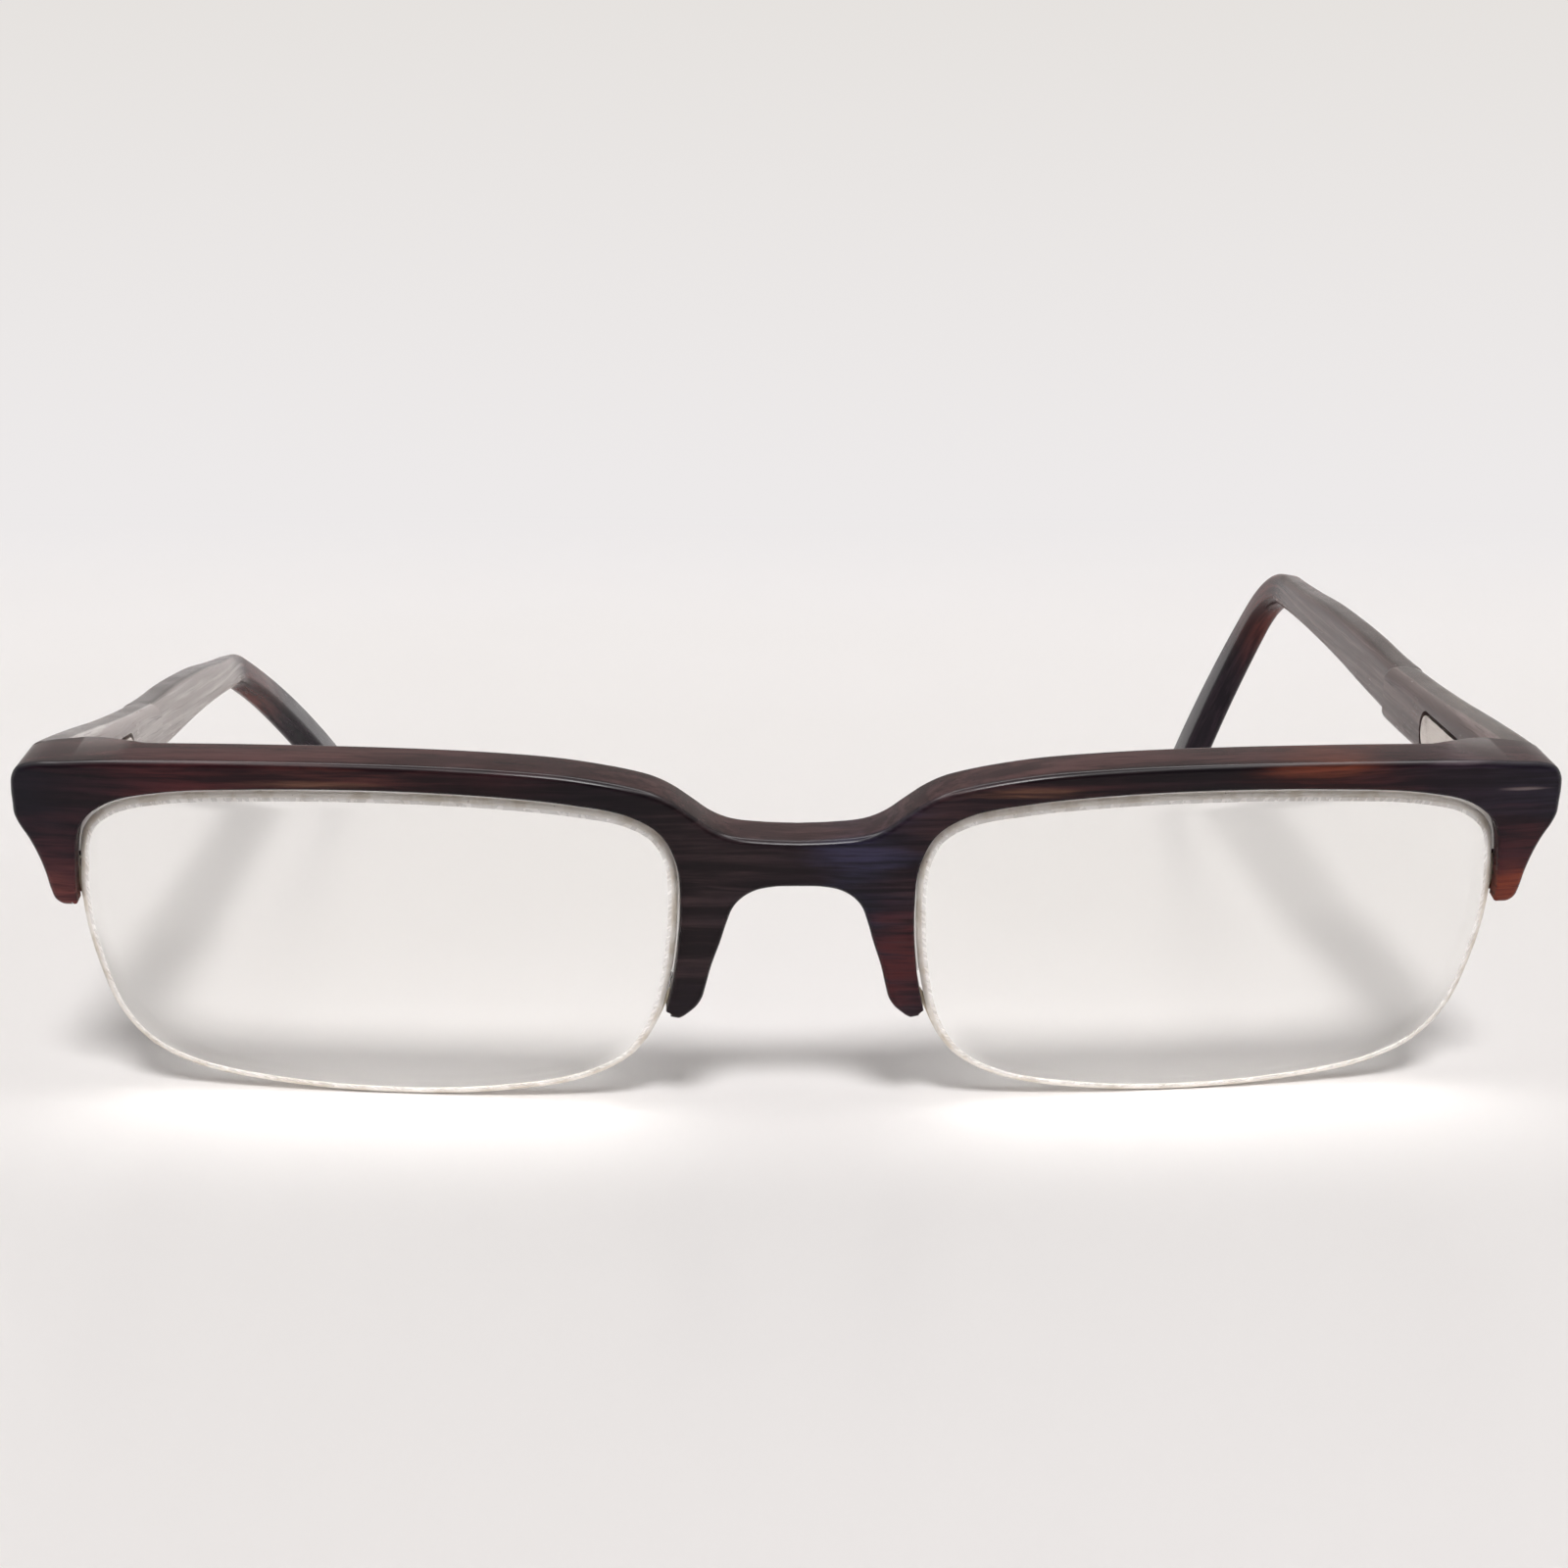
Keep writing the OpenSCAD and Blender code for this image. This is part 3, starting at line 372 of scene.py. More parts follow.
class Recipe:
    """The node tree of one material or world, built step by step."""

    def __init__(self, owner: bpy.types.Material | bpy.types.World) -> None:
        """Starts an empty tree.

        Args:
            owner: the material or the world that the tree belongs to.
        """
        owner.use_nodes = True
        self.owner = owner
        self.tree = owner.node_tree
        self.tree.nodes.clear()

    @classmethod
    def named(cls, name: str) -> "Recipe":
        """An empty tree in a new material."""
        return cls(bpy.data.materials.new(name))

    def node(self, kind: str, **settings: object) -> bpy.types.Node:
        """Adds a node.

        Args:
            kind: the node's type.
            **settings: its options by name.

        Returns:
            The new node.
        """
        made = self.tree.nodes.new(kind)
        for key, value in settings.items():
            setattr(made, key, value)
        return made

    def feed(self, target: Socket, value: object) -> None:
        """Links a socket to the target, or sets the target's own value.

        Args:
            target: the socket that takes the value.
            value: a socket, a number, a vector or a colour.
        """
        if isinstance(value, bpy.types.NodeSocket):
            self.tree.links.new(value, target)
        elif isinstance(value, tuple) and target.type == "RGBA":
            target.default_value = (*value, 1.0)
        else:
            target.default_value = value

    def fed(self, kind: str, values: tuple, **settings: object) -> bpy.types.Node:
        """Adds a node and feeds its sockets in their order.

        Args:
            kind: the node's type.
            values: what its first sockets take.
            **settings: its options by name.

        Returns:
            The new node.
        """
        made = self.node(kind, **settings)
        for slot, value in zip(made.inputs, values):
            self.feed(slot, value)
        return made

    def calc(self, operation: str, *values: object) -> Socket:
        """A sum, product or other operation on up to three numbers."""
        return self.fed("ShaderNodeMath", values, operation=operation).outputs[0]

    def vector(self, operation: str, *values: object) -> Socket:
        """An operation on up to three vectors."""
        made = self.fed("ShaderNodeVectorMath", values, operation=operation)
        return made.outputs["Value" if operation == "LENGTH" else "Vector"]

    def parts(self, spot: Socket) -> list[Socket]:
        """The three parts of a place or a direction."""
        return list(self.fed("ShaderNodeSeparateXYZ", (spot,)).outputs)

    def grain(self) -> Socket:
        """The surface's place in the sheet it was cut from, in millimetres."""
        return self.node("ShaderNodeAttribute", attribute_name="grain").outputs["Vector"]

    def place(self) -> Socket:
        """The place on the object, in millimetres."""
        spot = self.node("ShaderNodeTexCoord").outputs["Object"]
        return self.vector("MULTIPLY", spot, (1 / MM, 1 / MM, 1 / MM))

    def rays(self) -> tuple[Socket, Socket]:
        """Switches for two kinds of rays.

        Returns:
            1 for rays from the camera or through glass, and 1 for rays off polished faces.
        """
        rays = self.node("ShaderNodeLightPath").outputs
        seen = self.calc("MAXIMUM", rays["Is Camera Ray"], rays["Is Transmission Ray"])
        return seen, rays["Is Glossy Ray"]

    def noise(
        self, spot: Socket, stretch: tuple, detail: float = 3, rough: float = 0.55, twist: float = 0
    ) -> Socket:
        """Cloudy noise whose grains are drawn out by unequal scales.

        Args:
            spot: the place.
            stretch: scale along each direction, in grains to the millimetre.
            detail: number of finer layers.
            rough: weight of each finer layer.
            twist: how far the pattern is bent by itself.

        Returns:
            A number about 0.5.
        """
        made = self.node("ShaderNodeTexNoise", noise_dimensions="3D")
        self.feed(made.inputs["Vector"], self.vector("MULTIPLY", spot, stretch))
        made.inputs["Scale"].default_value = 1
        made.inputs["Detail"].default_value = detail
        made.inputs["Roughness"].default_value = rough
        made.inputs["Distortion"].default_value = twist
        return made.outputs["Fac"]

    def between(
        self, value: Socket, low: float, high: float, first: float = 0, last: float = 1, soft: bool = True
    ) -> Socket:
        """Maps a stretch of values onto another, held at both ends.

        Args:
            value: the value.
            low: where the stretch begins.
            high: where it ends.
            first: the result at its beginning.
            last: the result at its end.
            soft: true for a smooth step, false for a straight one.

        Returns:
            The result.
        """
        ease = "SMOOTHSTEP" if soft else "LINEAR"
        values = (value, low, high, first, last)
        return self.fed("ShaderNodeMapRange", values, interpolation_type=ease).outputs[0]

    def mix(self, share: object, first: object, second: object) -> Socket:
        """Mixes two colours.

        Args:
            share: 0 for the first colour, 1 for the second.
            first: the first colour.
            second: the second colour.

        Returns:
            The mixed colour.
        """
        made = self.node("ShaderNodeMix", data_type="RGBA")
        self.feed(made.inputs[0], share)
        self.feed(made.inputs[6], first)
        self.feed(made.inputs[7], second)
        return made.outputs[2]

    def ramp(self, share: Socket, stops: list[tuple[float, Colour]]) -> Socket:
        """A colour that changes along a run.

        Args:
            share: the place on the run, from 0 to 1.
            stops: rows of place and colour, in rising order.

        Returns:
            The colour.
        """
        made = self.node("ShaderNodeValToRGB")
        made.color_ramp.interpolation = "EASE"
        parts = made.color_ramp.elements
        while len(parts) < len(stops):
            parts.new(0.5)
        for part, (spot, colour) in zip(parts, stops):
            part.position = spot
            part.color = (*colour, 1)
        self.feed(made.inputs[0], share)
        return made.outputs[0]

    def bump(self, height: Socket, strength: float, distance: float) -> Socket:
        """A bump.

        Args:
            height: the height, between 0 and 1.
            strength: how strongly it shows.
            distance: what a height of 1 stands for, in metres.

        Returns:
            The bent normal.
        """
        made = self.node("ShaderNodeBump")
        made.inputs["Strength"].default_value = strength
        made.inputs["Distance"].default_value = distance
        self.feed(made.inputs["Height"], height)
        return made.outputs[0]

    def surface(self, **values: object) -> Socket:
        """Adds a shader.

        Args:
            **values: its sockets by name, with spaces written as underscores.

        Returns:
            The shader's output.
        """
        shader = self.node("ShaderNodeBsdfPrincipled")
        for key, value in values.items():
            self.feed(shader.inputs[key.replace("_", " ")], value)
        return shader.outputs[0]

    def end(self, surface: Socket) -> bpy.types.Material:
        """Ends a material's tree with a surface."""
        self.feed(self.node("ShaderNodeOutputMaterial").inputs[0], surface)
        return self.owner

    def shade(self, **values: object) -> bpy.types.Material:
        """Ends a material's tree with one shader, whose sockets are given by name."""
        return self.end(self.surface(**values))


@dataclass(frozen=True)
class Patch:
    """A soft-edged stain or painted highlight in the horn: where it lies, how far it reaches, its colour
    and strength.
    """

    along: float
    across: float
    reach_along: float
    reach_across: float
    colour: Colour
    strength: float = 0.8


@dataclass(frozen=True)
class HornAcetate:
    """Polished horn-look acetate: dark sheet with fibrous streaks along it and slow changes of colour.

    Attributes:
        name: the material's name.
        zones: rows of place along the sheet, deep colour and streak colour.
        patches: stains in places of their own, and painted highlights along some upper edges.
        streak: how strongly the streaks show.
        roughness: dullness of the polish.
        grain_length: length of a streak in mm.
        core: tone of the sheet's deeper layer, which the top face and the cut edges show; on the top
        face this paler tone is partly painted light.
        inner: paler tones of the inner face, a painted reflection of the surroundings, if it has any.
        painted_reflection_end: where the inner face's painted reflection ends along the sheet.
        gloss: strength of the polish's mirrored light.
        drift_reach: how far the zones wander along the sheet, in mm.
        drift_turn: how far the streaks wander along, across and deep, in mm.
        hair: tone of the fine dark hairs.
    """

    name: str
    zones: tuple[tuple[float, Colour, Colour], ...]
    patches: tuple[Patch, ...] = ()
    streak: float = 1.0
    roughness: float = 0.15
    grain_length: float = 13.0
    core: Colour | None = None
    inner: tuple[Colour, Colour] | None = None
    painted_reflection_end: float = 84.0
    gloss: float = 0.13
    drift_reach: float = 16.0
    drift_turn: tuple[float, float, float] = (0, 1.6, 1.0)
    hair: Colour = tone(18, 12, 16)

    def make(self) -> bpy.types.Material:
        """Builds the material.

        The streaks are noise drawn out along the sheet by the grain length. A ramp along the sheet
        gives the deep and the streak colour, and its place is shifted by slow noise, so no zone ends in
        a line. Stains and painted highlights come next, then the deeper layer, paler and partly painted
        light on the top face, the inner face's painted reflection, and the fine hairs.

        Returns:
            The material.
        """
        recipe = Recipe.named(self.name)
        spot = recipe.grain()
        along, _, deep = recipe.parts(spot)
        drift = recipe.noise(spot, (0.05, 0.35, 0.25), detail=3)
        wander = recipe.calc("SUBTRACT", drift, 0.5)
        shifted = recipe.calc("MULTIPLY_ADD", wander, self.drift_reach, along)
        low, high = self.zones[0][0], self.zones[-1][0]
        share = recipe.between(shifted, low, high, soft=False)
        dark = recipe.ramp(share, [((zone[0] - low) / (high - low), zone[1]) for zone in self.zones])
        pale = recipe.ramp(share, [((zone[0] - low) / (high - low), zone[2]) for zone in self.zones])
        turn = recipe.vector("SUBTRACT", drift, (0.5, 0.5, 0.5))
        wave = recipe.vector("MULTIPLY_ADD", turn, self.drift_turn, spot)
        run = 1 / self.grain_length
        fibres = recipe.noise(wave, (run, 1.5, 0.9), detail=6, rough=0.64)
        bands = recipe.noise(wave, (run / 2, 0.5, 0.35), detail=3)
        both = recipe.calc("ADD", recipe.calc("MULTIPLY", fibres, 0.6), recipe.calc("MULTIPLY", bands, 0.4))
        streaks = recipe.between(both, 0.43, 0.63, 0, self.streak)
        # Stains, and painted highlights along some of the front's upper edges.
        colour = self.stains_and_highlights(recipe, recipe.mix(streaks, dark, pale), spot, wave, fibres)
        # Paler deeper layer, partly painted light on the top face; painted reflection on the inner face.
        colour = self.deep_layer_and_painted_light(recipe, colour, streaks, deep, shifted)
        hairs = recipe.noise(wave, (run * 2, 4.5, 3.0), detail=4, rough=0.6)
        colour = recipe.mix(recipe.between(hairs, 0.57, 0.72, 0, 0.35), colour, pale)
        dark_hairs = recipe.noise(wave, (run * 1.3, 3.2, 2.4), detail=3, rough=0.6)
        colour = recipe.mix(recipe.between(dark_hairs, 0.58, 0.7, 0, 0.45), colour, self.hair)
        handling = recipe.noise(spot, (0.22, 0.25, 0.25), detail=4)
        worn = recipe.between(handling, 0.35, 0.7, self.roughness - 0.03, self.roughness + 0.05)
        scratches = recipe.noise(spot, (0.9, 7.0, 7.0), detail=5, rough=0.7, twist=0.6)
        height = recipe.calc("MULTIPLY", recipe.calc("ADD", scratches, fibres), 0.5)
        return recipe.shade(
            Base_Color=colour,
            Roughness=recipe.calc("ADD", worn, recipe.calc("MULTIPLY", hairs, 0.06)),
            Normal=recipe.bump(height, 0.1, 0.00006),
            IOR=PLASTIC_IOR,
            Specular_IOR_Level=self.gloss,
        )

    def stains_and_highlights(self, recipe: Recipe, colour: Socket, spot: Socket, wave: Socket, fibres: Socket) -> Socket:
        """Lays stains and painted highlights over a colour, each fading by its distance, which noise
        makes ragged.

        Args:
            recipe: the material's tree.
            colour: the colour so far.
            spot: the place in the sheet.
            wave: the place, moved by slow noise.
            fibres: the finer streaks, which the stains follow.

        Returns:
            The stained colour.
        """
        edge = recipe.noise(wave, (0.12, 0.9, 0.6), detail=4)
        for patch in self.patches:
            reach = (1 / patch.reach_along, 1 / patch.reach_across, 0.0)
            off = recipe.vector("SUBTRACT", spot, (patch.along, patch.across, 0.0))
            near = recipe.vector("LENGTH", recipe.vector("MULTIPLY", off, reach))
            ragged = recipe.calc("MULTIPLY_ADD", recipe.calc("SUBTRACT", edge, 0.5), 1.6, near)
            inside = recipe.between(ragged, 1.3, 0.25, 0, patch.strength)
            shown = recipe.calc("MULTIPLY", inside, recipe.between(fibres, 0.36, 0.56, 0.3, 1.0))
            colour = recipe.mix(shown, colour, patch.colour)
        return colour

    def deep_layer_and_painted_light(
        self, recipe: Recipe, colour: Socket, streaks: Socket, deep: Socket, shifted: Socket
    ) -> Socket:
        """Adds the paler deeper layer, partly painted light on the top face, and the painted
        reflection on the inner face.

        Args:
            recipe: the material's tree.
            colour: the colour so far.
            streaks: how far the streak colour shows.
            deep: depth in the sheet, or how far out a temple's surface lies.
            shifted: the place along the sheet, moved by slow noise.

        Returns:
            The layered colour.
        """
        # Paler where the sheet is deep; on the brow's top face this is partly painted light.
        if self.core:
            layer = recipe.between(deep, 0.35, 1.1, 0, 0.7)
            paler = recipe.mix(recipe.calc("MULTIPLY_ADD", streaks, 0.55, 0.35), colour, self.core)
            colour = recipe.mix(layer, colour, paler)
        # Painted reflection of the pale surroundings, paling the inner face ahead of its end along the
        # sheet.
        if self.inner:
            face = recipe.between(deep, -0.7, -1.25)
            reach = recipe.between(shifted, self.painted_reflection_end + 14, self.painted_reflection_end)
            paler = recipe.mix(streaks, self.inner[0], self.inner[1])
            colour = recipe.mix(recipe.calc("MULTIPLY", face, reach), colour, paler)
        return colour


@dataclass(frozen=True)
class LensResin:
    """Clear spectacle resin with a breath of handling marks."""

    name: str = "lens_resin_clear"
    tint: Colour = (0.97, 0.967, 0.955)

    def make(self) -> bpy.types.Material:
        """Builds the material: glass whose roughness is lifted in faint cloudy smears.

        Returns:
            The material.
        """
        recipe = Recipe.named(self.name)
        smears = recipe.noise(recipe.place(), (0.12, 0.12, 0.25), detail=4, twist=1.2)
        rough = recipe.between(smears, 0.5, 0.8, 0.0, 0.035)
        return recipe.shade(Base_Color=self.tint, Roughness=rough, IOR=PLASTIC_IOR, Transmission_Weight=1.0)


@dataclass(frozen=True)
class GroundEdge:
    """The lens edge as the wheel leaves it: milky, with clouds and fine lines round it."""

    name: str = "lens_edge_ground"
    tint: Colour = tone(238, 233, 226)
    cloud: Colour = tone(216, 207, 194)
    rough: float = 0.42
    clear: float = 0.1
    speck: Colour = tone(120, 98, 80)

    def make(self) -> bpy.types.Material:
        """Builds the material: pale resin with darker clouds and a bump of fine lines.

        Returns:
            The material.
        """
        recipe = Recipe.named(self.name)
        spot = recipe.place()
        clouds = recipe.noise(spot, (0.5, 0.5, 0.5), detail=4)
        tint = recipe.mix(recipe.between(clouds, 0.42, 0.66), self.tint, self.cloud)
        specks = recipe.noise(spot, (2.2, 2.2, 2.2), detail=2)
        tint = recipe.mix(recipe.between(specks, 0.7, 0.78, 0, 0.6), tint, self.speck)
        lines = recipe.noise(spot, (1.0, 9.0, 1.0), detail=3)
        return recipe.shade(
            Base_Color=tint,
            Roughness=recipe.between(lines, 0.3, 0.7, self.rough - 0.1, self.rough + 0.1),
            IOR=PLASTIC_IOR,
            Transmission_Weight=self.clear,
            Normal=recipe.bump(lines, 0.25, 0.00004),
        )


@dataclass(frozen=True)
class Nylon:
    """Nylon, clear or yellowed, with darker patches where dirt has settled."""

    name: str
    clean: Colour
    soiled: Colour
    clear: float
    rough: float
    soil: float
    speck: Colour = tone(84, 66, 52)

    def make(self) -> bpy.types.Material:
        """Builds the material: patches from slow noise, and small dark specks from fine noise.

        Returns:
            The material.
        """
        recipe = Recipe.named(self.name)
        spot = recipe.place()
        slow = recipe.noise(spot, (0.16, 0.16, 0.16), detail=4)
        colour = recipe.mix(recipe.between(slow, 0.45, 0.62, 0, self.soil), self.clean, self.soiled)
        specks = recipe.noise(spot, (1.1, 1.4, 1.4), detail=3, rough=0.7)
        colour = recipe.mix(recipe.between(specks, 0.66, 0.74, 0, self.soil), colour, self.speck)
        return recipe.shade(
            Base_Color=colour,
            Roughness=recipe.between(slow, 0.3, 0.7, self.rough - 0.08, self.rough + 0.08),
            IOR=PLASTIC_IOR,
            Transmission_Weight=self.clear,
            Normal=recipe.bump(specks, 0.2, 0.00004),
        )


@dataclass(frozen=True)
class SatinMetal:
    """Nickel silver or steel with a fine drawn grain and slightly dull patches."""

    name: str
    colour: Colour
    dull: Colour
    stretch: tuple[float, float, float]
    rough: float = 0.32

    def make(self) -> bpy.types.Material:
        """Builds the material: drawn-out noise for the grain, slow noise for the dull patches.

        Returns:
            The material.
        """
        recipe = Recipe.named(self.name)
        spot = recipe.place()
        lines = recipe.noise(spot, self.stretch, detail=4)
        age = recipe.noise(spot, (0.35, 0.35, 0.35), detail=4)
        colour = recipe.mix(recipe.between(age, 0.42, 0.68), self.colour, self.dull)
        return recipe.shade(
            Base_Color=colour,
            Metallic=1.0,
            Roughness=recipe.between(lines, 0.25, 0.75, self.rough - 0.08, self.rough + 0.12),
            Normal=recipe.bump(lines, 0.15, 0.00003),
        )


@dataclass(frozen=True)
class FrontForm:
    """The bent, leaning form that the front, the lenses, the liners and the cords share.

    Across is x, up is v along the leaning face, and depth is w behind the face. The lens outline is a
    closed list of places, clockwise from the middle of the nasal side. The sizes that place the hinge
    are here too, because the lugs reach to it, and so are the two holes of the cord, as places on the
    outline.
    """

    lens_w: float = 51.3
    lens_h: float = 30.1
    lens_edge_t: float = 2.0
    lens_centre_t: float = 2.5
    lens_radius: float = 220.0
    bridge_w: float = 20.3
    front_t: float = 4.1
    brow_h: float = 3.05
    end_w: float = 4.9
    bow_radius: float = 300.0
    lean: float = math.radians(17)
    lug_t: float = 6.6
    edge_r: float = 0.6
    rear_edge_r: float = 0.5
    top_gap: float = 0.75
    side_gap: float = 0.25
    cord_r: float = 0.25
    groove_w: float = 0.66
    lens_groove_depth: float = 0.45
    rim_groove_depth: float = 0.8
    hinge_drop: float = 4.1
    hinge_sink: float = 0.75
    barrel_r: float = 1.25
    seat_gap: float = 0.15
    fit: float = 0.05
    temple_t: float = 4.3
    temple_step: float = 0.95
    inner_share: float = 0.31
    outer_share: float = 0.49
    cord_from: float = 10.98
    cord_to: float = 22.98
    rear_shift: float = 0.0

    outline_shares = (
        (0.000, 0.672), (0.005, 0.793), (0.029, 0.879), (0.079, 0.933), (0.172, 0.966),
        (0.308, 0.989), (0.483, 1.000), (0.676, 0.995), (0.841, 0.975), (0.932, 0.936),
        (0.979, 0.869), (0.996, 0.738), (1.000, 0.590), (0.986, 0.413), (0.959, 0.256),
        (0.909, 0.141), (0.831, 0.069), (0.696, 0.023), (0.492, 0.000), (0.308, 0.015),
        (0.163, 0.064), (0.079, 0.148), (0.037, 0.259), (0.0155, 0.393), (0.004, 0.534),
    )

    @property
    def nasal_x(self) -> float:
        """Distance from the middle to the lens."""
        return self.bridge_w / 2

    @property
    def lens_middle(self) -> Array:
        """Middle of the lens across and up."""
        return np.array([self.nasal_x + self.lens_w / 2, self.lens_h / 2])

    @property
    def face_depth(self) -> float:
        """Depth of the lens's front surface behind the face, at the lens's middle."""
        return (self.front_t - self.lens_edge_t) / 5

    @property
    def lens_corner(self) -> float:
        """Chamfer of the lens's rear edge."""
        return self.lens_edge_t / 12

    @property
    def cord_anchor(self) -> float:
        """Distance of the cord's holes from the lens outline."""
        return self.side_gap + self.cord_r + self.fit

    @property
    def rest_lift(self) -> float:
        """How far the whole is lowered, so that the lenses' lower rear edges stand at height 0."""
        cup = self.cup(self.lens_middle[0], 0.0)
        return -(self.face_depth + cup + self.lens_corner) * math.sin(self.lean)

    @property
    def temple_x(self) -> float:
        """Distance from the middle to a temple's middle line: its block ends just inside the front."""
        front_half_w = self.nasal_x + self.lens_w + self.end_w
        return front_half_w - self.temple_t * self.outer_share - 2.5 * self.seat_gap

    @property
    def temple_inner(self) -> float:
        """Distance from a temple's middle line to the inner face of its block."""
        return self.temple_t * self.inner_share + self.temple_step

    @property
    def hinge_x(self) -> float:
        """Distance from the middle to a hinge's axis: its barrels are sunk in the block."""
        return self.temple_x - self.temple_inner - self.barrel_r + self.hinge_sink

    @property
    def hinge_z(self) -> float:
        """Height of the hinge's middle."""
        return (self.lens_h + self.brow_h) * math.cos(self.lean) + self.rest_lift - self.hinge_drop

    @property
    def hinge_v(self) -> float:
        """The hinge's middle, up along the leaning face."""
        return (self.hinge_z - self.rest_lift - self.front_t * math.sin(self.lean)) / math.cos(self.lean)

    @property
    def seat_y(self) -> float:
        """Place of the temple's seat, which is the rear face of the lug, before the rear shift."""
        face = self.bow(self.hinge_x) - self.hinge_v * math.sin(self.lean)
        return face + self.front_t * math.cos(self.lean) + self.lug_t - self.front_t

    def bow(self, x: Array) -> Array:
        """Sag of the bent front: the square of x over twice the radius."""
        return x * x / (2 * self.bow_radius)

    def cup(self, x: Array, v: Array) -> Array:
        """Further depth of the lens surface: its own curvature less the front's, both ways."""
        across = (np.abs(x) - self.lens_middle[0]) ** 2 / 2 * (1 / self.lens_radius - 1 / self.bow_radius)
        return across + (v - self.lens_h / 2) ** 2 / (2 * self.lens_radius)

    def edge_depth(self, p: Array) -> Array:
        """Depth of the middle of the lens edge."""
        return self.face_depth + self.cup(p[..., 0], p[..., 1]) + self.lens_edge_t / 2

    def place(self, p: Array, w: Array) -> Array:
        """From across, up and depth to the model.

        The front leans about its lower edge and is bent about an upright axis. Depth past the
        front's thickness goes straight back.

        Args:
            p: across and up, in the last two columns.
            w: depth behind the face.

        Returns:
            Places in millimetres.
        """
        x, v = p[..., 0], p[..., 1]
        w = np.broadcast_to(np.asarray(w, float), x.shape)
        held = np.minimum(w, self.front_t)
        y = self.bow(x) - v * math.sin(self.lean) + held * math.cos(self.lean) + w - held
        z = v * math.cos(self.lean) + held * math.sin(self.lean) + self.rest_lift
        return np.stack([x, y + self.rear_shift, z], axis=-1)

    def unplace(self, points: Array) -> Array:
        """From the model back to the drawing, ahead of the lugs.

        Args:
            points: places in millimetres, one row each.

        Returns:
            Rows of across, up and depth.
        """
        y = points[:, 1] - self.rear_shift - self.bow(points[:, 0])
        z = points[:, 2] - self.rest_lift
        up = z * math.cos(self.lean) - y * math.sin(self.lean)
        deep = y * math.cos(self.lean) + z * math.sin(self.lean)
        return np.stack([points[:, 0], up, deep], axis=1)

    def lens_at(self, t: Array) -> Array:
        """Places on the lens outline.

        Args:
            t: places counted in points of its list, with shares between them.

        Returns:
            Across and up.
        """
        shares = np.array(self.outline_shares)
        points = shares * [self.lens_w, self.lens_h] + [self.nasal_x, 0]
        step = np.floor(t).astype(int)
        near = [points[(step + k) % len(points)] for k in (-1, 0, 1, 2)]
        return four_point_curve(*near, (t - step)[..., None])

    def lens_normal(self, t: Array) -> Array:
        """Direction away from the lens, square to its outline."""
        run = self.lens_at(t + 0.05) - self.lens_at(t - 0.05)
        return unit(np.stack([-run[..., 1], run[..., 0]], axis=-1))

    def rim_gap(self, t: Array) -> Array:
        """Gap between the lens and the rim: the top gap where the outline faces up."""
        up = np.maximum(0, self.lens_normal(t)[..., 1]) ** 2
        return blend(self.side_gap, self.top_gap, up)


def mirrored(points: Array, side: Side) -> Array:
    """The points on the wanted side of the nose."""
    return points * [side.value, 1, 1]


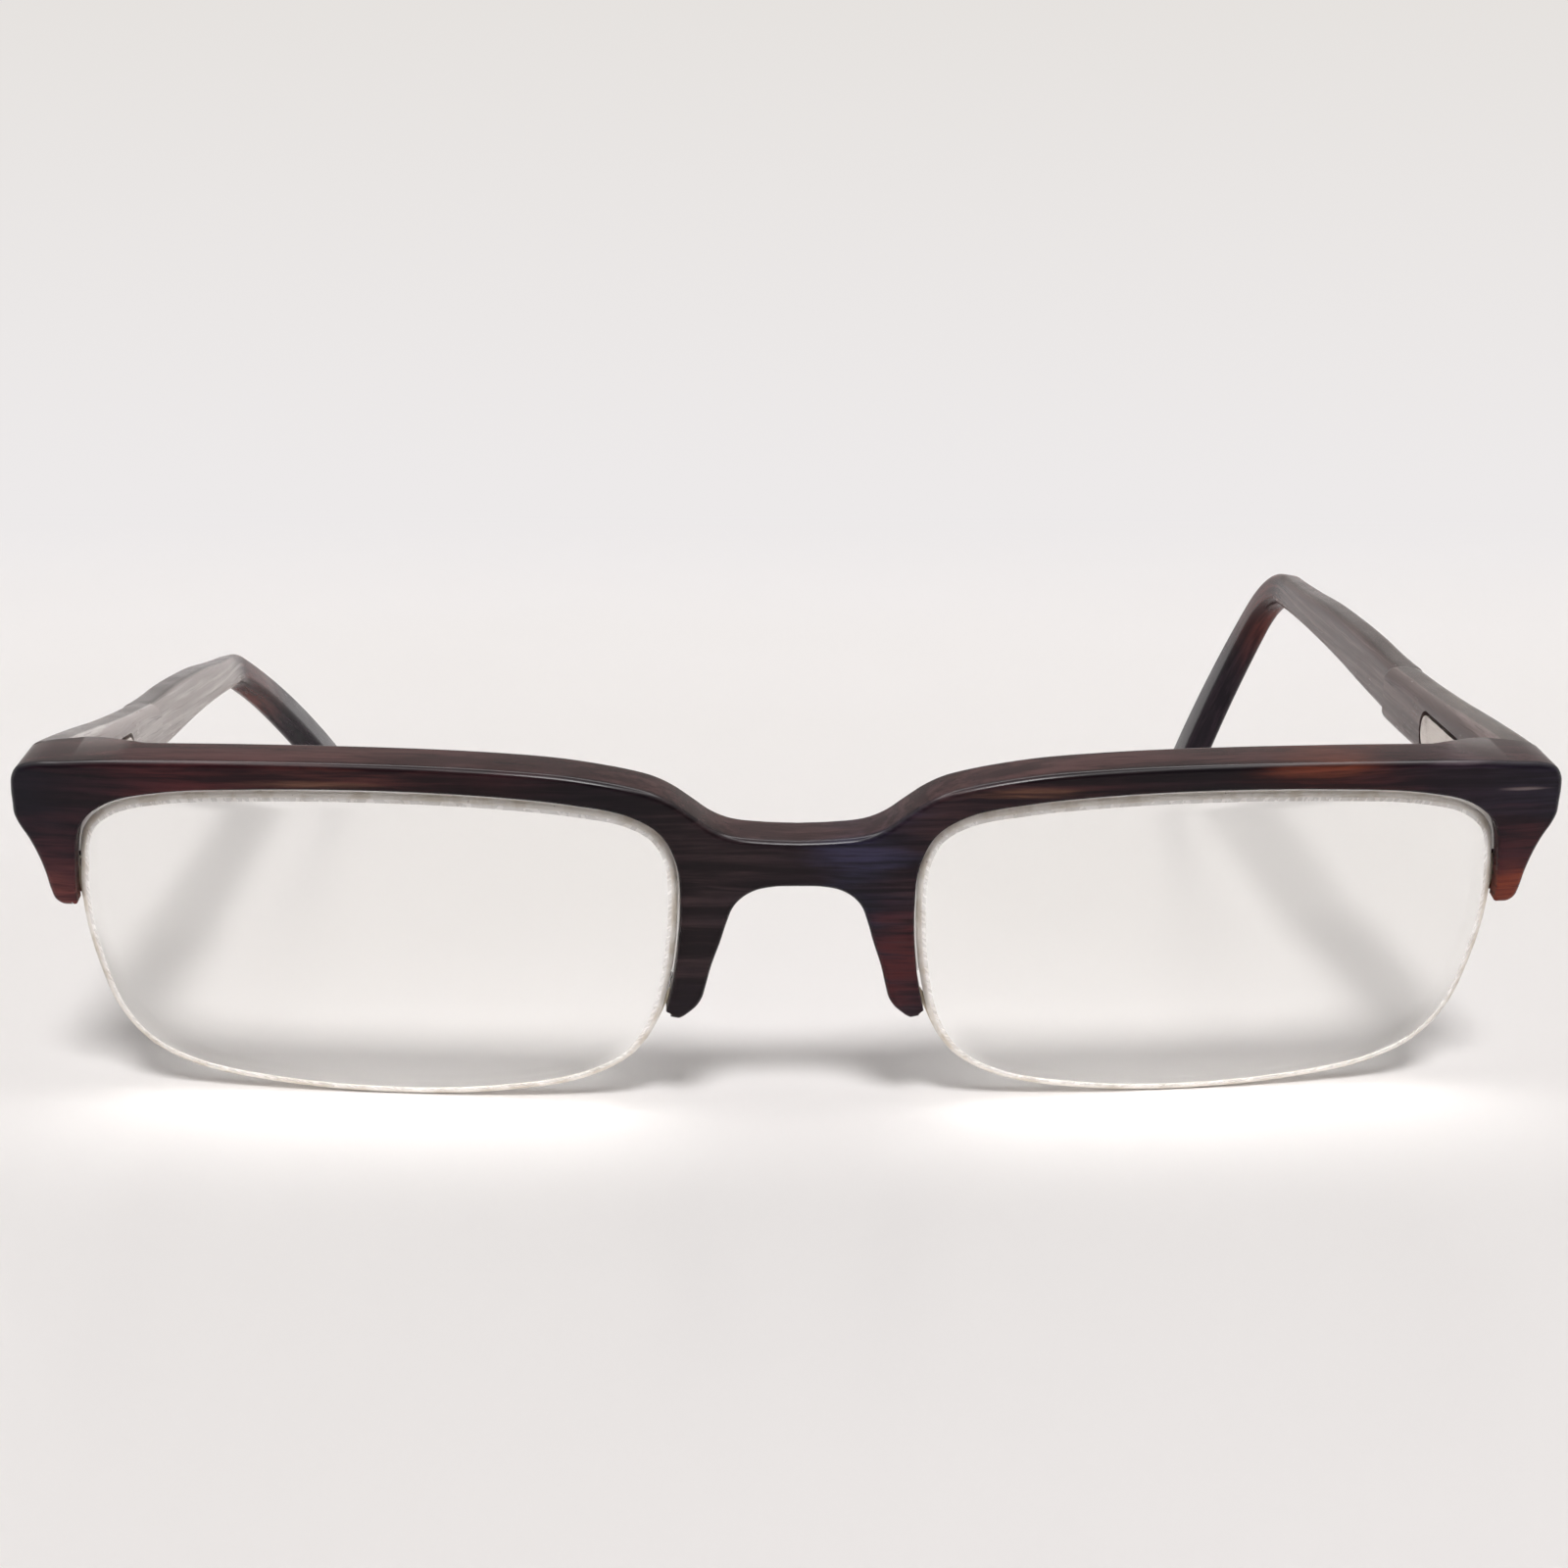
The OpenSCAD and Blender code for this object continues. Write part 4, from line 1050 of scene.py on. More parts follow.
@dataclass
class BrowFront:
    """The one-piece front: brow, bridge, nose legs and end pieces with their lugs."""

    form: FrontForm
    steps: int = 9
    front_arc: int = 9
    rear_arc: int = 6
    middle_rows: int = 5
    middle_band: float = 0.005
    tip_lift: float = 0.16
    tip_reach: float = 0.34
    lug_share: float = 1.08
    lug_low_share: float = 0.66
    lug_full_share: float = 0.8
    seat_inner: float = 3.0
    seat_block: float = 24.0
    cord_hole_gap: float = 0.1

    rim_arc = (math.radians(30), math.radians(60))
    face_shares = (0.25, 0.5, 0.75)
    arch_shares = (
        (1.012, 0.302, -2.64), (1.003, 0.2985, -2.63), (0.985, 0.2975, -2.62),
        (0.950, 0.303, -2.60), (0.916, 0.312, -2.56), (0.842, 0.336, -2.45),
        (0.793, 0.364, -2.26), (0.761, 0.405, -1.98), (0.716, 0.470, -1.45),
        (0.637, 0.556, -0.90), (0.585, 0.619, -0.50), (0.534, 0.666, -0.20),
        (0.455, 0.699, 0.05), (0.345, 0.722, 0.25), (0.195, 0.733, 0.45),
        (0.000, 0.735, 0.65),
    )
    brow_shares = (
        (0.000, 0.877, 1.70), (0.293, 0.881, 1.95), (0.553, 0.892, 2.20),
        (0.719, 0.916, 2.45), (0.879, 0.957, 2.70), (1.007, 0.996, 2.95),
        (1.038, 1.230, 3.15), (1.075, 1.413, 3.35), (1.133, 1.610, 3.75),
        (1.201, 1.774, 4.25), (1.299, 1.895, 4.93), (1.406, 1.967, 5.55),
        (1.542, 2.000, 6.30), (1.698, 1.993, 7.12), (1.835, 1.951, 7.95),
        (1.933, 1.902, 8.70), (2.031, 1.820, 9.15), (2.561, 1.754, 9.40),
        (2.827, 1.607, 9.55), (2.949, 1.328, 9.65), (2.990, 0.997, 9.80),
        (3.000, 0.950, 10.00), (3.000, 0.914, 10.15), (2.933, 0.880, 10.30),
        (2.796, 0.837, 10.50), (2.667, 0.781, 10.75), (2.578, 0.724, 11.00),
        (2.524, 0.671, 11.30), (2.463, 0.641, 11.50), (2.327, 0.625, 11.62),
        (2.153, 0.624, 11.72),
    )

    def rows(self, shares: tuple) -> Array:
        """Zone shares turned into lengths across and up.

        Across, 0 to 1 is half the bridge, 1 to 2 the lens and 2 to 3 the end piece. Up, 0 to 1 is the
        lens and 1 to 2 the brow above it.

        Args:
            shares: rows of the two shares and a place on the lens outline.

        Returns:
            Rows of across, up and that place.
        """
        form = self.form
        table = np.array(shares)
        zones = np.cumsum([0, form.nasal_x, form.lens_w, form.end_w])
        across = np.interp(table[:, 0], [0, 1, 2, 3], zones)
        up = np.interp(table[:, 1], [0, 1, 2], [0, form.lens_h, form.lens_h + form.brow_h])
        return np.stack([across, up, table[:, 2]], axis=1)

    def edge_normals(self, curve: Array) -> Array:
        """Directions out of the front, square to its outline; on the middle line straight up or down.

        Args:
            curve: rows that begin with across and up.

        Returns:
            One direction for each row.
        """
        ahead = np.vstack([curve[1:], curve[-1:]])
        behind = np.vstack([curve[:1], curve[:-1]])
        run = (ahead - behind)[:, :2]
        out = unit(np.stack([-run[:, 1], run[:, 0]], axis=1))
        middle = np.abs(curve[:, 0]) < self.middle_band
        out[middle] = np.stack([np.zeros(middle.sum()), np.sign(out[middle, 1])], axis=1)
        return out

    def depth(self, p: Array) -> Array:
        """Thickness of the front, which grows smoothly into the lug behind the end piece.

        Args:
            p: across and up, one row each.

        Returns:
            The thickness at each place.
        """
        form = self.form
        low, full = form.lens_h * self.lug_low_share, form.lens_h * self.lug_full_share
        beside = smooth((p[:, 0] - form.hinge_x + form.lug_t) / form.lug_t)
        above = smooth((p[:, 1] - low) / (full - low))
        return form.front_t + (form.lug_t * self.lug_share - form.front_t) * beside * above

    def outline(self) -> tuple[Array, Array]:
        """The outer edge, from the leg tip up the arch, up the middle line and out over the brow.

        Returns:
            Rows of across, up and place on the rim, and the direction out of the front at each, which
            is nil on the middle line, where the two halves meet.
        """
        arch = open_curve(self.rows(self.arch_shares), self.steps)
        brow = open_curve(self.rows(self.brow_shares), self.steps)
        rise = np.arange(1, self.middle_rows + 1) / (self.middle_rows + 1)
        middle = blend(arch[-1], brow[0], rise[:, None])
        out = np.vstack([self.edge_normals(arch), middle[:, :2] * 0, self.edge_normals(brow)])
        return np.vstack([arch, middle, brow]), out

    def sections(self) -> tuple[Array, Array, int]:
        """Sections from the rim to the outer edge, from the leg tip over the bridge to the end tip.

        Each section runs over the rounded front edge, the rounded rear edge, the rear face, the rim
        with its groove, and back over the front face. Edge points are quarter circles. At the leg tip
        the rim's places are lifted a little along the outline, which rounds the corner there.

        Returns:
            Points of each section in the model, which sections lie on the middle line, and how many
            faces of a section its outer edge takes.
        """
        form = self.form
        curve, out = self.outline()
        outer, place = curve[:, :2], curve[:, 2]
        place = place + self.tip_lift * (1 - smooth((place - place[0]) / self.tip_reach))
        rim_n = form.lens_normal(place)
        rim = form.lens_at(place) + rim_n * form.rim_gap(place)[:, None]
        corner = form.rear_edge_r / 2
        inset = rim + rim_n * corner
        floor = rim + rim_n * form.rim_groove_depth
        groove, half = form.edge_depth(form.lens_at(place)), form.groove_w / 2
        level, deep = np.zeros(len(curve)), self.depth(outer)
        front_in = outer - out * form.edge_r
        rear_in = outer - out * form.rear_edge_r
        rows: list[tuple[Array, Array]] = []
        for a in np.linspace(0, np.pi / 2, self.front_arc + 1):
            flat = outer - out * form.edge_r * (1 - math.sin(a))
            rows.append((flat, level + form.edge_r * (1 - math.cos(a))))
        for a in np.linspace(0, np.pi / 2, self.rear_arc + 1):
            flat = outer - out * form.rear_edge_r * (1 - math.cos(a))
            rows.append((flat, deep - form.rear_edge_r * (1 - math.sin(a))))
        wall = len(rows) - 1
        rear = [blend(rear_in, inset, share) for share in self.face_shares]
        rows += [(spot, self.depth(spot)) for spot in [*rear, inset]]
        edge = [(inset - rim_n * corner * math.sin(a), corner * (1 - math.cos(a))) for a in self.rim_arc]
        rows += [(spot, self.depth(spot) - fall) for spot, fall in edge]
        rows.append((rim, self.depth(rim) - corner))
        rows += [(rim, groove + half), (floor, groove + half), (floor, groove - half), (rim, groove - half)]
        rows.append((rim, level + corner))
        rows += [(spot, level + fall) for spot, fall in edge[::-1]]
        rows.append((inset, level))
        rows += [(blend(front_in, inset, share), level) for share in self.face_shares[::-1]]
        points = np.stack([form.place(flat, w) for flat, w in rows], axis=1)
        return points, np.abs(outer[:, 0]) < self.middle_band, wall

    def make(self, materials: list[bpy.types.Material]) -> bpy.types.Object:
        """Builds the front, cuts its seats, recesses and cord holes, and dresses it.

        Args:
            materials: the horn.

        Returns:
            The front.
        """
        points, on_middle, wall = self.sections()
        rings, count = points.shape[:2]
        quads = Surface.quads(rings, count).reshape(rings - 1, count, 4)
        seam = on_middle[:-1] & on_middle[1:]
        half = quads[~(seam[:, None] & (np.arange(count) < wall)[None, :])]
        caps = Surface.caps(rings, count)
        total = rings * count
        faces = half.tolist() + caps + (half[:, ::-1] + total).tolist()
        faces += [[total + k for k in cap[::-1]] for cap in caps]
        both = np.concatenate([points.reshape(-1, 3), points.reshape(-1, 3) * [-1, 1, 1]])
        body = Surface.build("brow_front_horn", both, faces, weld=True)
        Surface.cut(body, [cutter for side in Side for cutter in self.cutters(side)])
        Surface.write_grain(body, self.form.unplace(Surface.points_of(body)))
        Surface.finish(body, materials, crease=38)
        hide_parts("brow_front")
        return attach(body, "front")

    def cutters(self, side: Side) -> list[bpy.types.Object]:
        """Solids that open one side's seat, hinge recess, barrel well and cord holes.

        Args:
            side: the wearer's side.

        Returns:
            The solids.
        """
        form, hinge = self.form, Hinge(self.form)
        seat, wide = hinge.seat_matrix(side), self.seat_block
        width, height = hinge.plate_w + 2 * form.fit, hinge.rise + 2 * form.fit
        seat_x, plate_x = -self.seat_inner, -hinge.web_w / 2 - form.fit
        if side is Side.RIGHT:
            seat_x, plate_x = -seat_x - wide, -plate_x - width
        solids = [
            Cutter.box((seat_x, 0, -wide / 2), (wide, wide, wide), seat),
            Cutter.box((plate_x, -hinge.leaf_t - 2 * form.fit, -height / 2), (width, wide, height), seat),
            hinge.well(side),
        ]
        for place in (form.cord_from, form.cord_to):
            spot = np.array([place])
            p = form.lens_at(spot) + form.lens_normal(spot) * form.cord_anchor
            start = mirrored(form.place(p, form.edge_depth(p)), side)[0]
            turn = Matrix.Translation(start) @ Matrix.Rotation(form.lean - math.pi / 2, 4, "X")
            solids.append(Cutter.rod(form.cord_r + self.cord_hole_gap, form.front_t, turn, sides=24))
        return solids


@dataclass(frozen=True)
class Hinge:
    """Places of the five-barrel hinge that the seats and pockets are cut for."""

    form: FrontForm
    barrels: int = 5
    barrel_h: float = 0.9
    barrel_gap: float = 0.1
    leaf_t: float = 0.9
    head_h: float = 0.6
    beyond: float = 12.0

    @property
    def height(self) -> float:
        """Height of the barrels with their gaps."""
        return self.barrel_h * self.barrels + self.barrel_gap * (self.barrels - 1)

    @property
    def rise(self) -> float:
        """Length of the leaning front leaf."""
        return self.height / math.cos(self.form.lean)

    @property
    def web_w(self) -> float:
        """Width of the webs behind the barrels."""
        return self.form.barrel_r * 1.4

    @property
    def plate_w(self) -> float:
        """Width of the front leaf."""
        return self.form.barrel_r * 2.8

    @property
    def axis_gap(self) -> float:
        """Distance of the axis behind the seat."""
        return self.form.barrel_r + self.form.seat_gap * 4

    @property
    def well_r(self) -> float:
        """Radius of the well that the barrels turn in."""
        return self.form.barrel_r + self.form.seat_gap * 2

    @property
    def well_low(self) -> float:
        """Depth of the well's floor below the hinge's middle."""
        return self.height / 2 + 2 * self.form.seat_gap

    @property
    def well_h(self) -> float:
        """Height of the well, with room for the screw's head."""
        return 2 * self.well_low + self.head_h

    def seat_matrix(self, side: Side) -> Matrix:
        """Frame on the seat at the axis: Y square to the seat, Z up along it."""
        spot = (side.value * self.form.hinge_x, self.form.seat_y + self.form.rear_shift, self.form.hinge_z)
        return Matrix.Translation(spot) @ Matrix.Rotation(self.form.lean, 4, "X")

    def well_matrix(self, side: Side) -> Matrix:
        """Upright frame on the axis, from the well's floor."""
        y = self.form.seat_y + self.axis_gap + self.form.rear_shift
        return Matrix.Translation((side.value * self.form.hinge_x, y, self.form.hinge_z - self.well_low))

    def well(self, side: Side) -> bpy.types.Object:
        """The upright well of the barrels and the screw head."""
        return Cutter.rod(self.well_r, self.well_h, self.well_matrix(side))

    def notch(self) -> bpy.types.Object:
        """The notch ahead of the left temple's well, for the webs of the front leaf."""
        size = (self.well_r + self.web_w / 2 + self.form.seat_gap, self.beyond, self.well_h)
        return Cutter.box((-self.well_r, -self.beyond, 0), size, self.well_matrix(Side.LEFT))


@dataclass
class Lens:
    """One lens blank: cupped front face, slightly fuller rear face and a grooved, ground edge."""

    form: FrontForm
    side: Side
    places: int = 300
    face_rings: int = 12
    face_reach: float = 0.93
    bevel: float = 0.78

    bevel_shares = ((1, 0), (0.58, 0.1), (0.12, 0.36), (0, 0.5))

    def edge_profile(self) -> list[tuple[float, float]]:
        """The edge from front to rear: a broad bevel, a land, the groove, a land and a chamfer.

        Returns:
            Rows of distance out of the outline and depth behind the middle of the edge.
        """
        form = self.form
        half, corner = form.lens_edge_t / 2, form.lens_corner
        wall, floor = form.groove_w / 2, -form.lens_groove_depth
        bevel = [(-self.bevel * inwards, self.bevel * deep - half) for inwards, deep in self.bevel_shares]
        groove = [(0, -wall), (floor, -wall), (floor, wall), (0, wall)]
        return [*bevel, *groove, (0, half - corner), (-corner, half)]

    def face(self, outline: Array, share: float, rear: bool) -> Array:
        """One ring of a face.

        The front face has the lens's own curvature. The rear face adds the thickness of the edge, and
        the extra middle thickness times one less the square of the share.

        Args:
            outline: the lens outline.
            share: share of the way from the middle to the outline.
            rear: true for the rear face.

        Returns:
            Places in millimetres.
        """
        form = self.form
        p = blend(form.lens_middle, outline, share)
        w = form.face_depth + form.cup(p[:, 0], p[:, 1])
        belly = form.lens_centre_t - form.lens_edge_t
        return form.place(p, w + (form.lens_edge_t + belly * (1 - share**2) if rear else 0))

    def make(
        self, clear: bpy.types.Material, bevel: bpy.types.Material, ground: bpy.types.Material
    ) -> bpy.types.Object:
        """Builds the lens: the rings of the front face, of the edge and of the rear face.

        Args:
            clear: the finish of the faces.
            bevel: the finish of the broad front bevel.
            ground: the finish of the edge.

        Returns:
            The lens.
        """
        form, count = self.form, self.places
        t = np.arange(count) / count * len(form.outline_shares)
        outline, normal = form.lens_at(t), form.lens_normal(t)
        shares = np.sin(np.linspace(0, np.pi / 2, self.face_rings + 1))[1:-1] * self.face_reach
        profile, depth = self.edge_profile(), form.edge_depth(outline)
        rings = [self.face(outline, share, False) for share in shares]
        rings += [form.place(outline + normal * away, depth + back) for away, back in profile]
        rings += [self.face(outline, share, True) for share in shares[::-1]]
        ends = [self.face(outline, 0.0, rear)[:1] for rear in (False, True)]
        points = np.vstack([ends[0], *rings, ends[1]])
        last = len(points) - 1
        j = np.arange(count)
        across = (j + 1) % count
        front_fan = np.stack([j * 0, 1 + j, 1 + across], axis=1)
        rear_fan = np.stack([j * 0 + last, last - count + across, last - count + j], axis=1)
        wall = Surface.quads(len(rings), count, start=1)
        faces = front_fan.tolist() + wall.tolist() + rear_fan.tolist()
        lens = Surface.build(f"{self.side.word}_lens_blank", mirrored(points, self.side), faces)
        first_edge = count * (len(shares) + 1)
        numbers = np.zeros(len(faces), np.int32)
        numbers[first_edge : first_edge + (len(profile) - 1) * count] = 2
        numbers[first_edge : first_edge + count] = 1
        lens.data.polygons.foreach_set("material_index", numbers)
        Surface.finish(lens, [clear, bevel, ground], crease=24)
        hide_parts(f"{self.side.word}_lens")
        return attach(lens, "front")


@dataclass
class Liner:
    """The clear nylon strip between the brow and the lens, with a tongue in each groove."""

    form: FrontForm
    side: Side
    start: float = -5 / 3
    end: float = 32 / 3
    steps: int = 240

    def make(self, material: bpy.types.Material) -> bpy.types.Object:
        """Builds the liner: one section swept along the lens outline, closed at both ends.

        Args:
            material: the nylon.

        Returns:
            The liner.
        """
        form = self.form
        t = np.linspace(self.start, self.end, self.steps)
        rim, out = form.lens_at(t), form.lens_normal(t)
        gap, depth = form.rim_gap(t), form.edge_depth(rim)
        tongue = form.groove_w / 2 - form.fit
        body = form.lens_edge_t / 2 - form.lens_edge_t / 6
        top, low = gap + form.rim_groove_depth - form.fit, gap * 0 + form.fit - form.lens_groove_depth
        upper, lower = gap - form.fit, gap * 0 + form.fit
        route = [
            (top, -tongue), (upper, -tongue), (upper, -body), (lower, -body), (lower, -tongue),
            (low, -tongue), (low, tongue), (lower, tongue), (lower, body), (upper, body),
            (upper, tongue), (top, tongue),
        ]
        rings = np.stack([form.place(rim + out * q[:, None], depth + r) for q, r in route], axis=1)
        faces = Surface.capped(self.steps, len(route))
        liner = Surface.build(f"{self.side.word}_liner_strip", mirrored(rings, self.side), faces)
        Surface.finish(liner, [material])
        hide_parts(f"{self.side.word}_rim_liner")
        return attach(liner, "front")


@dataclass
class Cord:
    """The nylon cord that holds one lens, round its lower edge and up through two holes."""

    form: FrontForm
    side: Side
    run: float = 0.9
    steps: int = 150
    sides: int = 16
    sink: float = 0.4
    leads = ((0.0, 1.0, 1.0), (0.0, 1.0, 0.5), (0.02, 1.0, 0.12), (0.12, 0.92, 0.0), (0.34, 0.4, 0.0))

    def make(self, material: bpy.types.Material) -> bpy.types.Object:
        """Builds the cord.

        Its middle runs in the lens groove, a little sunk, and lifts out of it to each hole. Each ring
        is a circle square to the run. The cord is held along its whole length, so it is rigid.

        Args:
            material: the nylon.

        Returns:
            The cord.
        """
        form = self.form
        lead = np.array(self.leads)
        middle = np.linspace(form.cord_from + self.run, form.cord_to - self.run, self.steps)
        t = np.concatenate([form.cord_from + lead[:, 0], middle, (form.cord_to - lead[:, 0])[::-1]])
        lift = np.concatenate([lead[:, 1], middle * 0, lead[::-1, 1]])
        back = np.concatenate([lead[:, 2], middle * 0, lead[::-1, 2]])
        off = blend(-form.cord_r * self.sink, form.cord_anchor, lift)
        rim, normal = form.lens_at(t), form.lens_normal(t)
        w = blend(form.edge_depth(rim), form.front_t, back)
        route = form.place(rim + normal * off[:, None], w)
        knots = np.concatenate([[0], np.cumsum(np.linalg.norm(np.diff(route, axis=0), axis=1))])
        along = unit(np.gradient(route, knots, axis=0))
        rise = normal[:, 1]
        out = np.stack([normal[:, 0], -rise * math.sin(form.lean), rise * math.cos(form.lean)], axis=1)
        u = unit(out - along * np.sum(out * along, axis=1, keepdims=True))
        v = np.cross(along, u)
        angle = np.arange(self.sides) / self.sides * 2 * np.pi
        ring = np.cos(angle)[None, :, None] * u[:, None] + np.sin(angle)[None, :, None] * v[:, None]
        points = route[:, None] + form.cord_r * ring
        faces = Surface.capped(len(route), self.sides)
        cord = Surface.build(f"{self.side.word}_cord_nylon", mirrored(points, self.side), faces)
        Surface.finish(cord, [material], crease=50)
        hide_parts(f"{self.side.word}_nylon_cord")
        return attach(cord, "front")


@dataclass
class Temple:
    """One temple: thick block at the hinge, slim rear part, ear bend and a widening tip."""

    form: FrontForm
    side: Side
    pitch: float
    bend: float
    lean_in: float
    length: float = 141.0
    bend_start: float = 92.0
    bend_radius: float = 14.0
    tip_radius: float = 90.0
    height: float = 7.0
    step_at: float = 36.0
    step_run: float = 0.4
    tip_fall: float = 0.985
    corner_share: float = 0.3
    splay: float = math.radians(1.8)
    leaf_len: float = 21.5
    leaf_h: float = 3.4
    corner_steps: int = 8

    step_stops = (-0.9, -0.3, 0, 0.06, 0.12, 0.2, 0.28, 0.34, 0.4, 0.8)
    edge_shares = (
        (-0.04, 0.62, 0.30, 0.31, 0.49), (0.00, 0.62, 0.31, 0.31, 0.49), (0.07, 0.56, 0.35, 0.31, 0.48),
        (0.14, 0.48, 0.39, 0.31, 0.46), (0.22, 0.42, 0.41, 0.31, 0.44), (0.29, 0.41, 0.39, 0.31, 0.42),
        (0.36, 0.45, 0.34, 0.31, 0.41), (0.43, 0.45, 0.28, 0.31, 0.40), (0.50, 0.42, 0.24, 0.33, 0.39),
        (0.57, 0.34, 0.23, 0.34, 0.38), (0.65, 0.28, 0.26, 0.34, 0.38), (0.72, 0.29, 0.32, 0.35, 0.38),
        (0.80, 0.33, 0.40, 0.37, 0.40), (0.90, 0.40, 0.50, 0.40, 0.41), (0.96, 0.45, 0.55, 0.40, 0.41),
        (1.00, 0.46, 0.57, 0.40, 0.41),
    )

    @property
    def tip_round(self) -> float:
        """Length over which the tip is rounded."""
        return self.height * 0.62

    @property
    def pocket_h(self) -> float:
        """Height of the pocket for the hinge leaf."""
        return self.height * 0.6

    @property
    def origin(self) -> Array:
        """Middle of the temple on its seat."""
        form = self.form
        return np.array([form.temple_x, form.seat_y + form.rear_shift, form.hinge_z])

    def axes(self, s: Array) -> tuple[Array, Array, Array]:
        """Middle line and section directions at lengths along the temple.

        The line is straight, then an arc of the ear bend's radius, then an arc of the tip's radius,
        in a plane that leans inwards behind the bend. The section rolls smoothly into that lean.

        Args:
            s: lengths from the seat.

        Returns:
            Middle points, outward directions and upward directions.
        """
        lean, splay = self.lean_in, self.splay
        level, rise = math.cos(self.pitch), math.sin(self.pitch)
        ahead = np.array([math.sin(splay) * level, math.cos(splay) * level, rise])
        out = np.array([math.cos(splay), -math.sin(splay), 0.0])
        up = np.cross(out, ahead)
        leaning_up = up * math.cos(lean) + out * math.sin(lean)
        leaning_out = out * math.cos(lean) - up * math.sin(lean)
        arc = self.bend_radius * self.bend
        s = s[:, None]
        ear = np.clip(s - self.bend_start, 0, arc) / self.bend_radius
        tip = np.maximum(s - self.bend_start - arc, 0) / self.tip_radius
        ear_ahead = ahead * np.cos(ear) - leaning_up * np.sin(ear)
        ear_up = leaning_up * np.cos(ear) + ahead * np.sin(ear)
        tip_up = ear_up * np.cos(tip) + ear_ahead * np.sin(tip)
        centre = (
            self.origin
            + ahead * np.minimum(s, self.bend_start)
            + self.bend_radius * (ahead * np.sin(ear) - leaning_up * (1 - np.cos(ear)))
            + self.tip_radius * (ear_ahead * np.sin(tip) - ear_up * (1 - np.cos(tip)))
        )
        roll = lean * smooth((s - self.bend_start + self.bend_radius) / (2 * self.bend_radius))
        straight = s < self.bend_start
        spare = np.where(straight, roll, roll - lean)
        out, up = np.where(straight, out, leaning_out), np.where(straight, up, tip_up)
        return (
            centre,
            out * np.cos(spare) - up * np.sin(spare),
            up * np.cos(spare) + out * np.sin(spare),
        )

    def shares_at(self, share: Array) -> Array:
        """Edge shares along the temple: cubic pieces whose slopes come from the neighbours.

        Args:
            share: shares of the length.

        Returns:
            Rows like those of the edge shares.
        """
        rows = np.array(self.edge_shares)
        i = np.clip(np.searchsorted(rows[:, 0], share, side="left") - 1, 0, len(rows) - 2)
        a, b = rows[np.maximum(i - 1, 0)], rows[i]
        c, d = rows[i + 1], rows[np.minimum(i + 2, len(rows) - 1)]
        gap = (c - b)[:, :1]
        u = (share[:, None] - b[:, :1]) / gap
        start = (c - a) / (c - a)[:, :1] * gap
        end = (d - b) / (d - b)[:, :1] * gap
        return (
            b * (2 * u**3 - 3 * u**2 + 1)
            + start * (u**3 - 2 * u**2 + u)
            + c * (3 * u**2 - 2 * u**3)
            + end * (u**3 - u**2)
        )

    def edges(self, s: Array) -> tuple[Array, Array, Array, Array]:
        """Reach of the section from the middle line, drawn in to a rounded tip.

        Args:
            s: lengths from the seat.

        Returns:
            Reach upwards, downwards, inwards and outwards.
        """
        form = self.form
        top, bottom, inner, outer = self.shares_at(np.minimum(s, self.length) / self.length)[:, 1:].T
        block = form.temple_step * (1 - smooth((s - self.step_at) / self.step_run))
        left = np.clip((s - self.length + self.tip_round) / self.tip_round, 0, 1)
        end = np.sqrt(1 - left**2 * self.tip_fall)
        return (
            top * self.height * end,
            bottom * self.height * end,
            (inner * form.temple_t + block) * np.sqrt(end),
            outer * form.temple_t * np.sqrt(end),
        )

    def stops(self) -> Array:
        """Lengths at which a section is drawn, closer at the step, the bend and the tip.

        Returns:
            The lengths in rising order.
        """
        bend_end = self.bend_start + self.bend_radius * self.bend
        last = self.length - self.tip_round
        return np.concatenate([
            self.step_at * np.linspace(-1 / 6, 5 / 6, 13),
            self.step_at + np.array(self.step_stops),
            blend(self.step_at, self.bend_start, np.linspace(0.05, 1, 30)),
            blend(self.bend_start, bend_end, np.linspace(0, 1, 25)[1:]),
            blend(bend_end, last, np.linspace(0, 1, 22)[1:]),
            self.length - self.tip_round * (1 - np.sin(np.linspace(0, np.pi / 2, 15)[1:])),
        ])

    def rings(self, s: Array) -> Array:
        """Rounded sections: each corner is a quarter circle, as a share of the smaller side.

        Args:
            s: lengths from the seat.

        Returns:
            Places in millimetres, by section and by place round it.
        """
        centre, out, up = self.axes(s)
        top, bottom, inner, outer = self.edges(s)
        r = np.minimum(top + bottom, inner + outer) * self.corner_share
        corners = [(outer, top, 0), (-inner, top, 90), (-inner, -bottom, 180), (outer, -bottom, 270)]
        points = []
        for x0, y0, turn in corners:
            for a in np.radians(turn + np.linspace(0, 90, self.corner_steps + 1)):
                x = x0 - np.sign(x0) * r + r * math.cos(a)
                y = y0 - np.sign(y0) * r + r * math.sin(a)
                points.append(centre + out * x[:, None] + up * y[:, None])
        return np.stack(points, axis=1)

    def own_matrix(self) -> Matrix:
        """Frame of the left temple: X outward, Y along, Z up."""
        return (
            Matrix.Translation(self.origin)
            @ Matrix.Rotation(-self.splay, 4, "Z")
            @ Matrix.Rotation(self.pitch, 4, "X")
        )

    def grain_of(self, points: Array) -> Array:
        """Place of each point in the temple's sheet, counted from its nearest place on the middle line.

        Args:
            points: places in millimetres, one row each.

        Returns:
            Rows of along, up and out.
        """
        s = np.linspace(-8, self.length, 400)
        centre, out, up = self.axes(s)
        nearest = np.argmin(np.sum((points[:, None] - centre[None]) ** 2, axis=2), axis=1)
        off = points - centre[nearest]
        ahead = np.cross(out, up)[nearest]
        along, rise, away = (np.sum(off * way, axis=1) for way in (ahead, up[nearest], out[nearest]))
        return np.stack([s[nearest] + along, rise, away], axis=1)

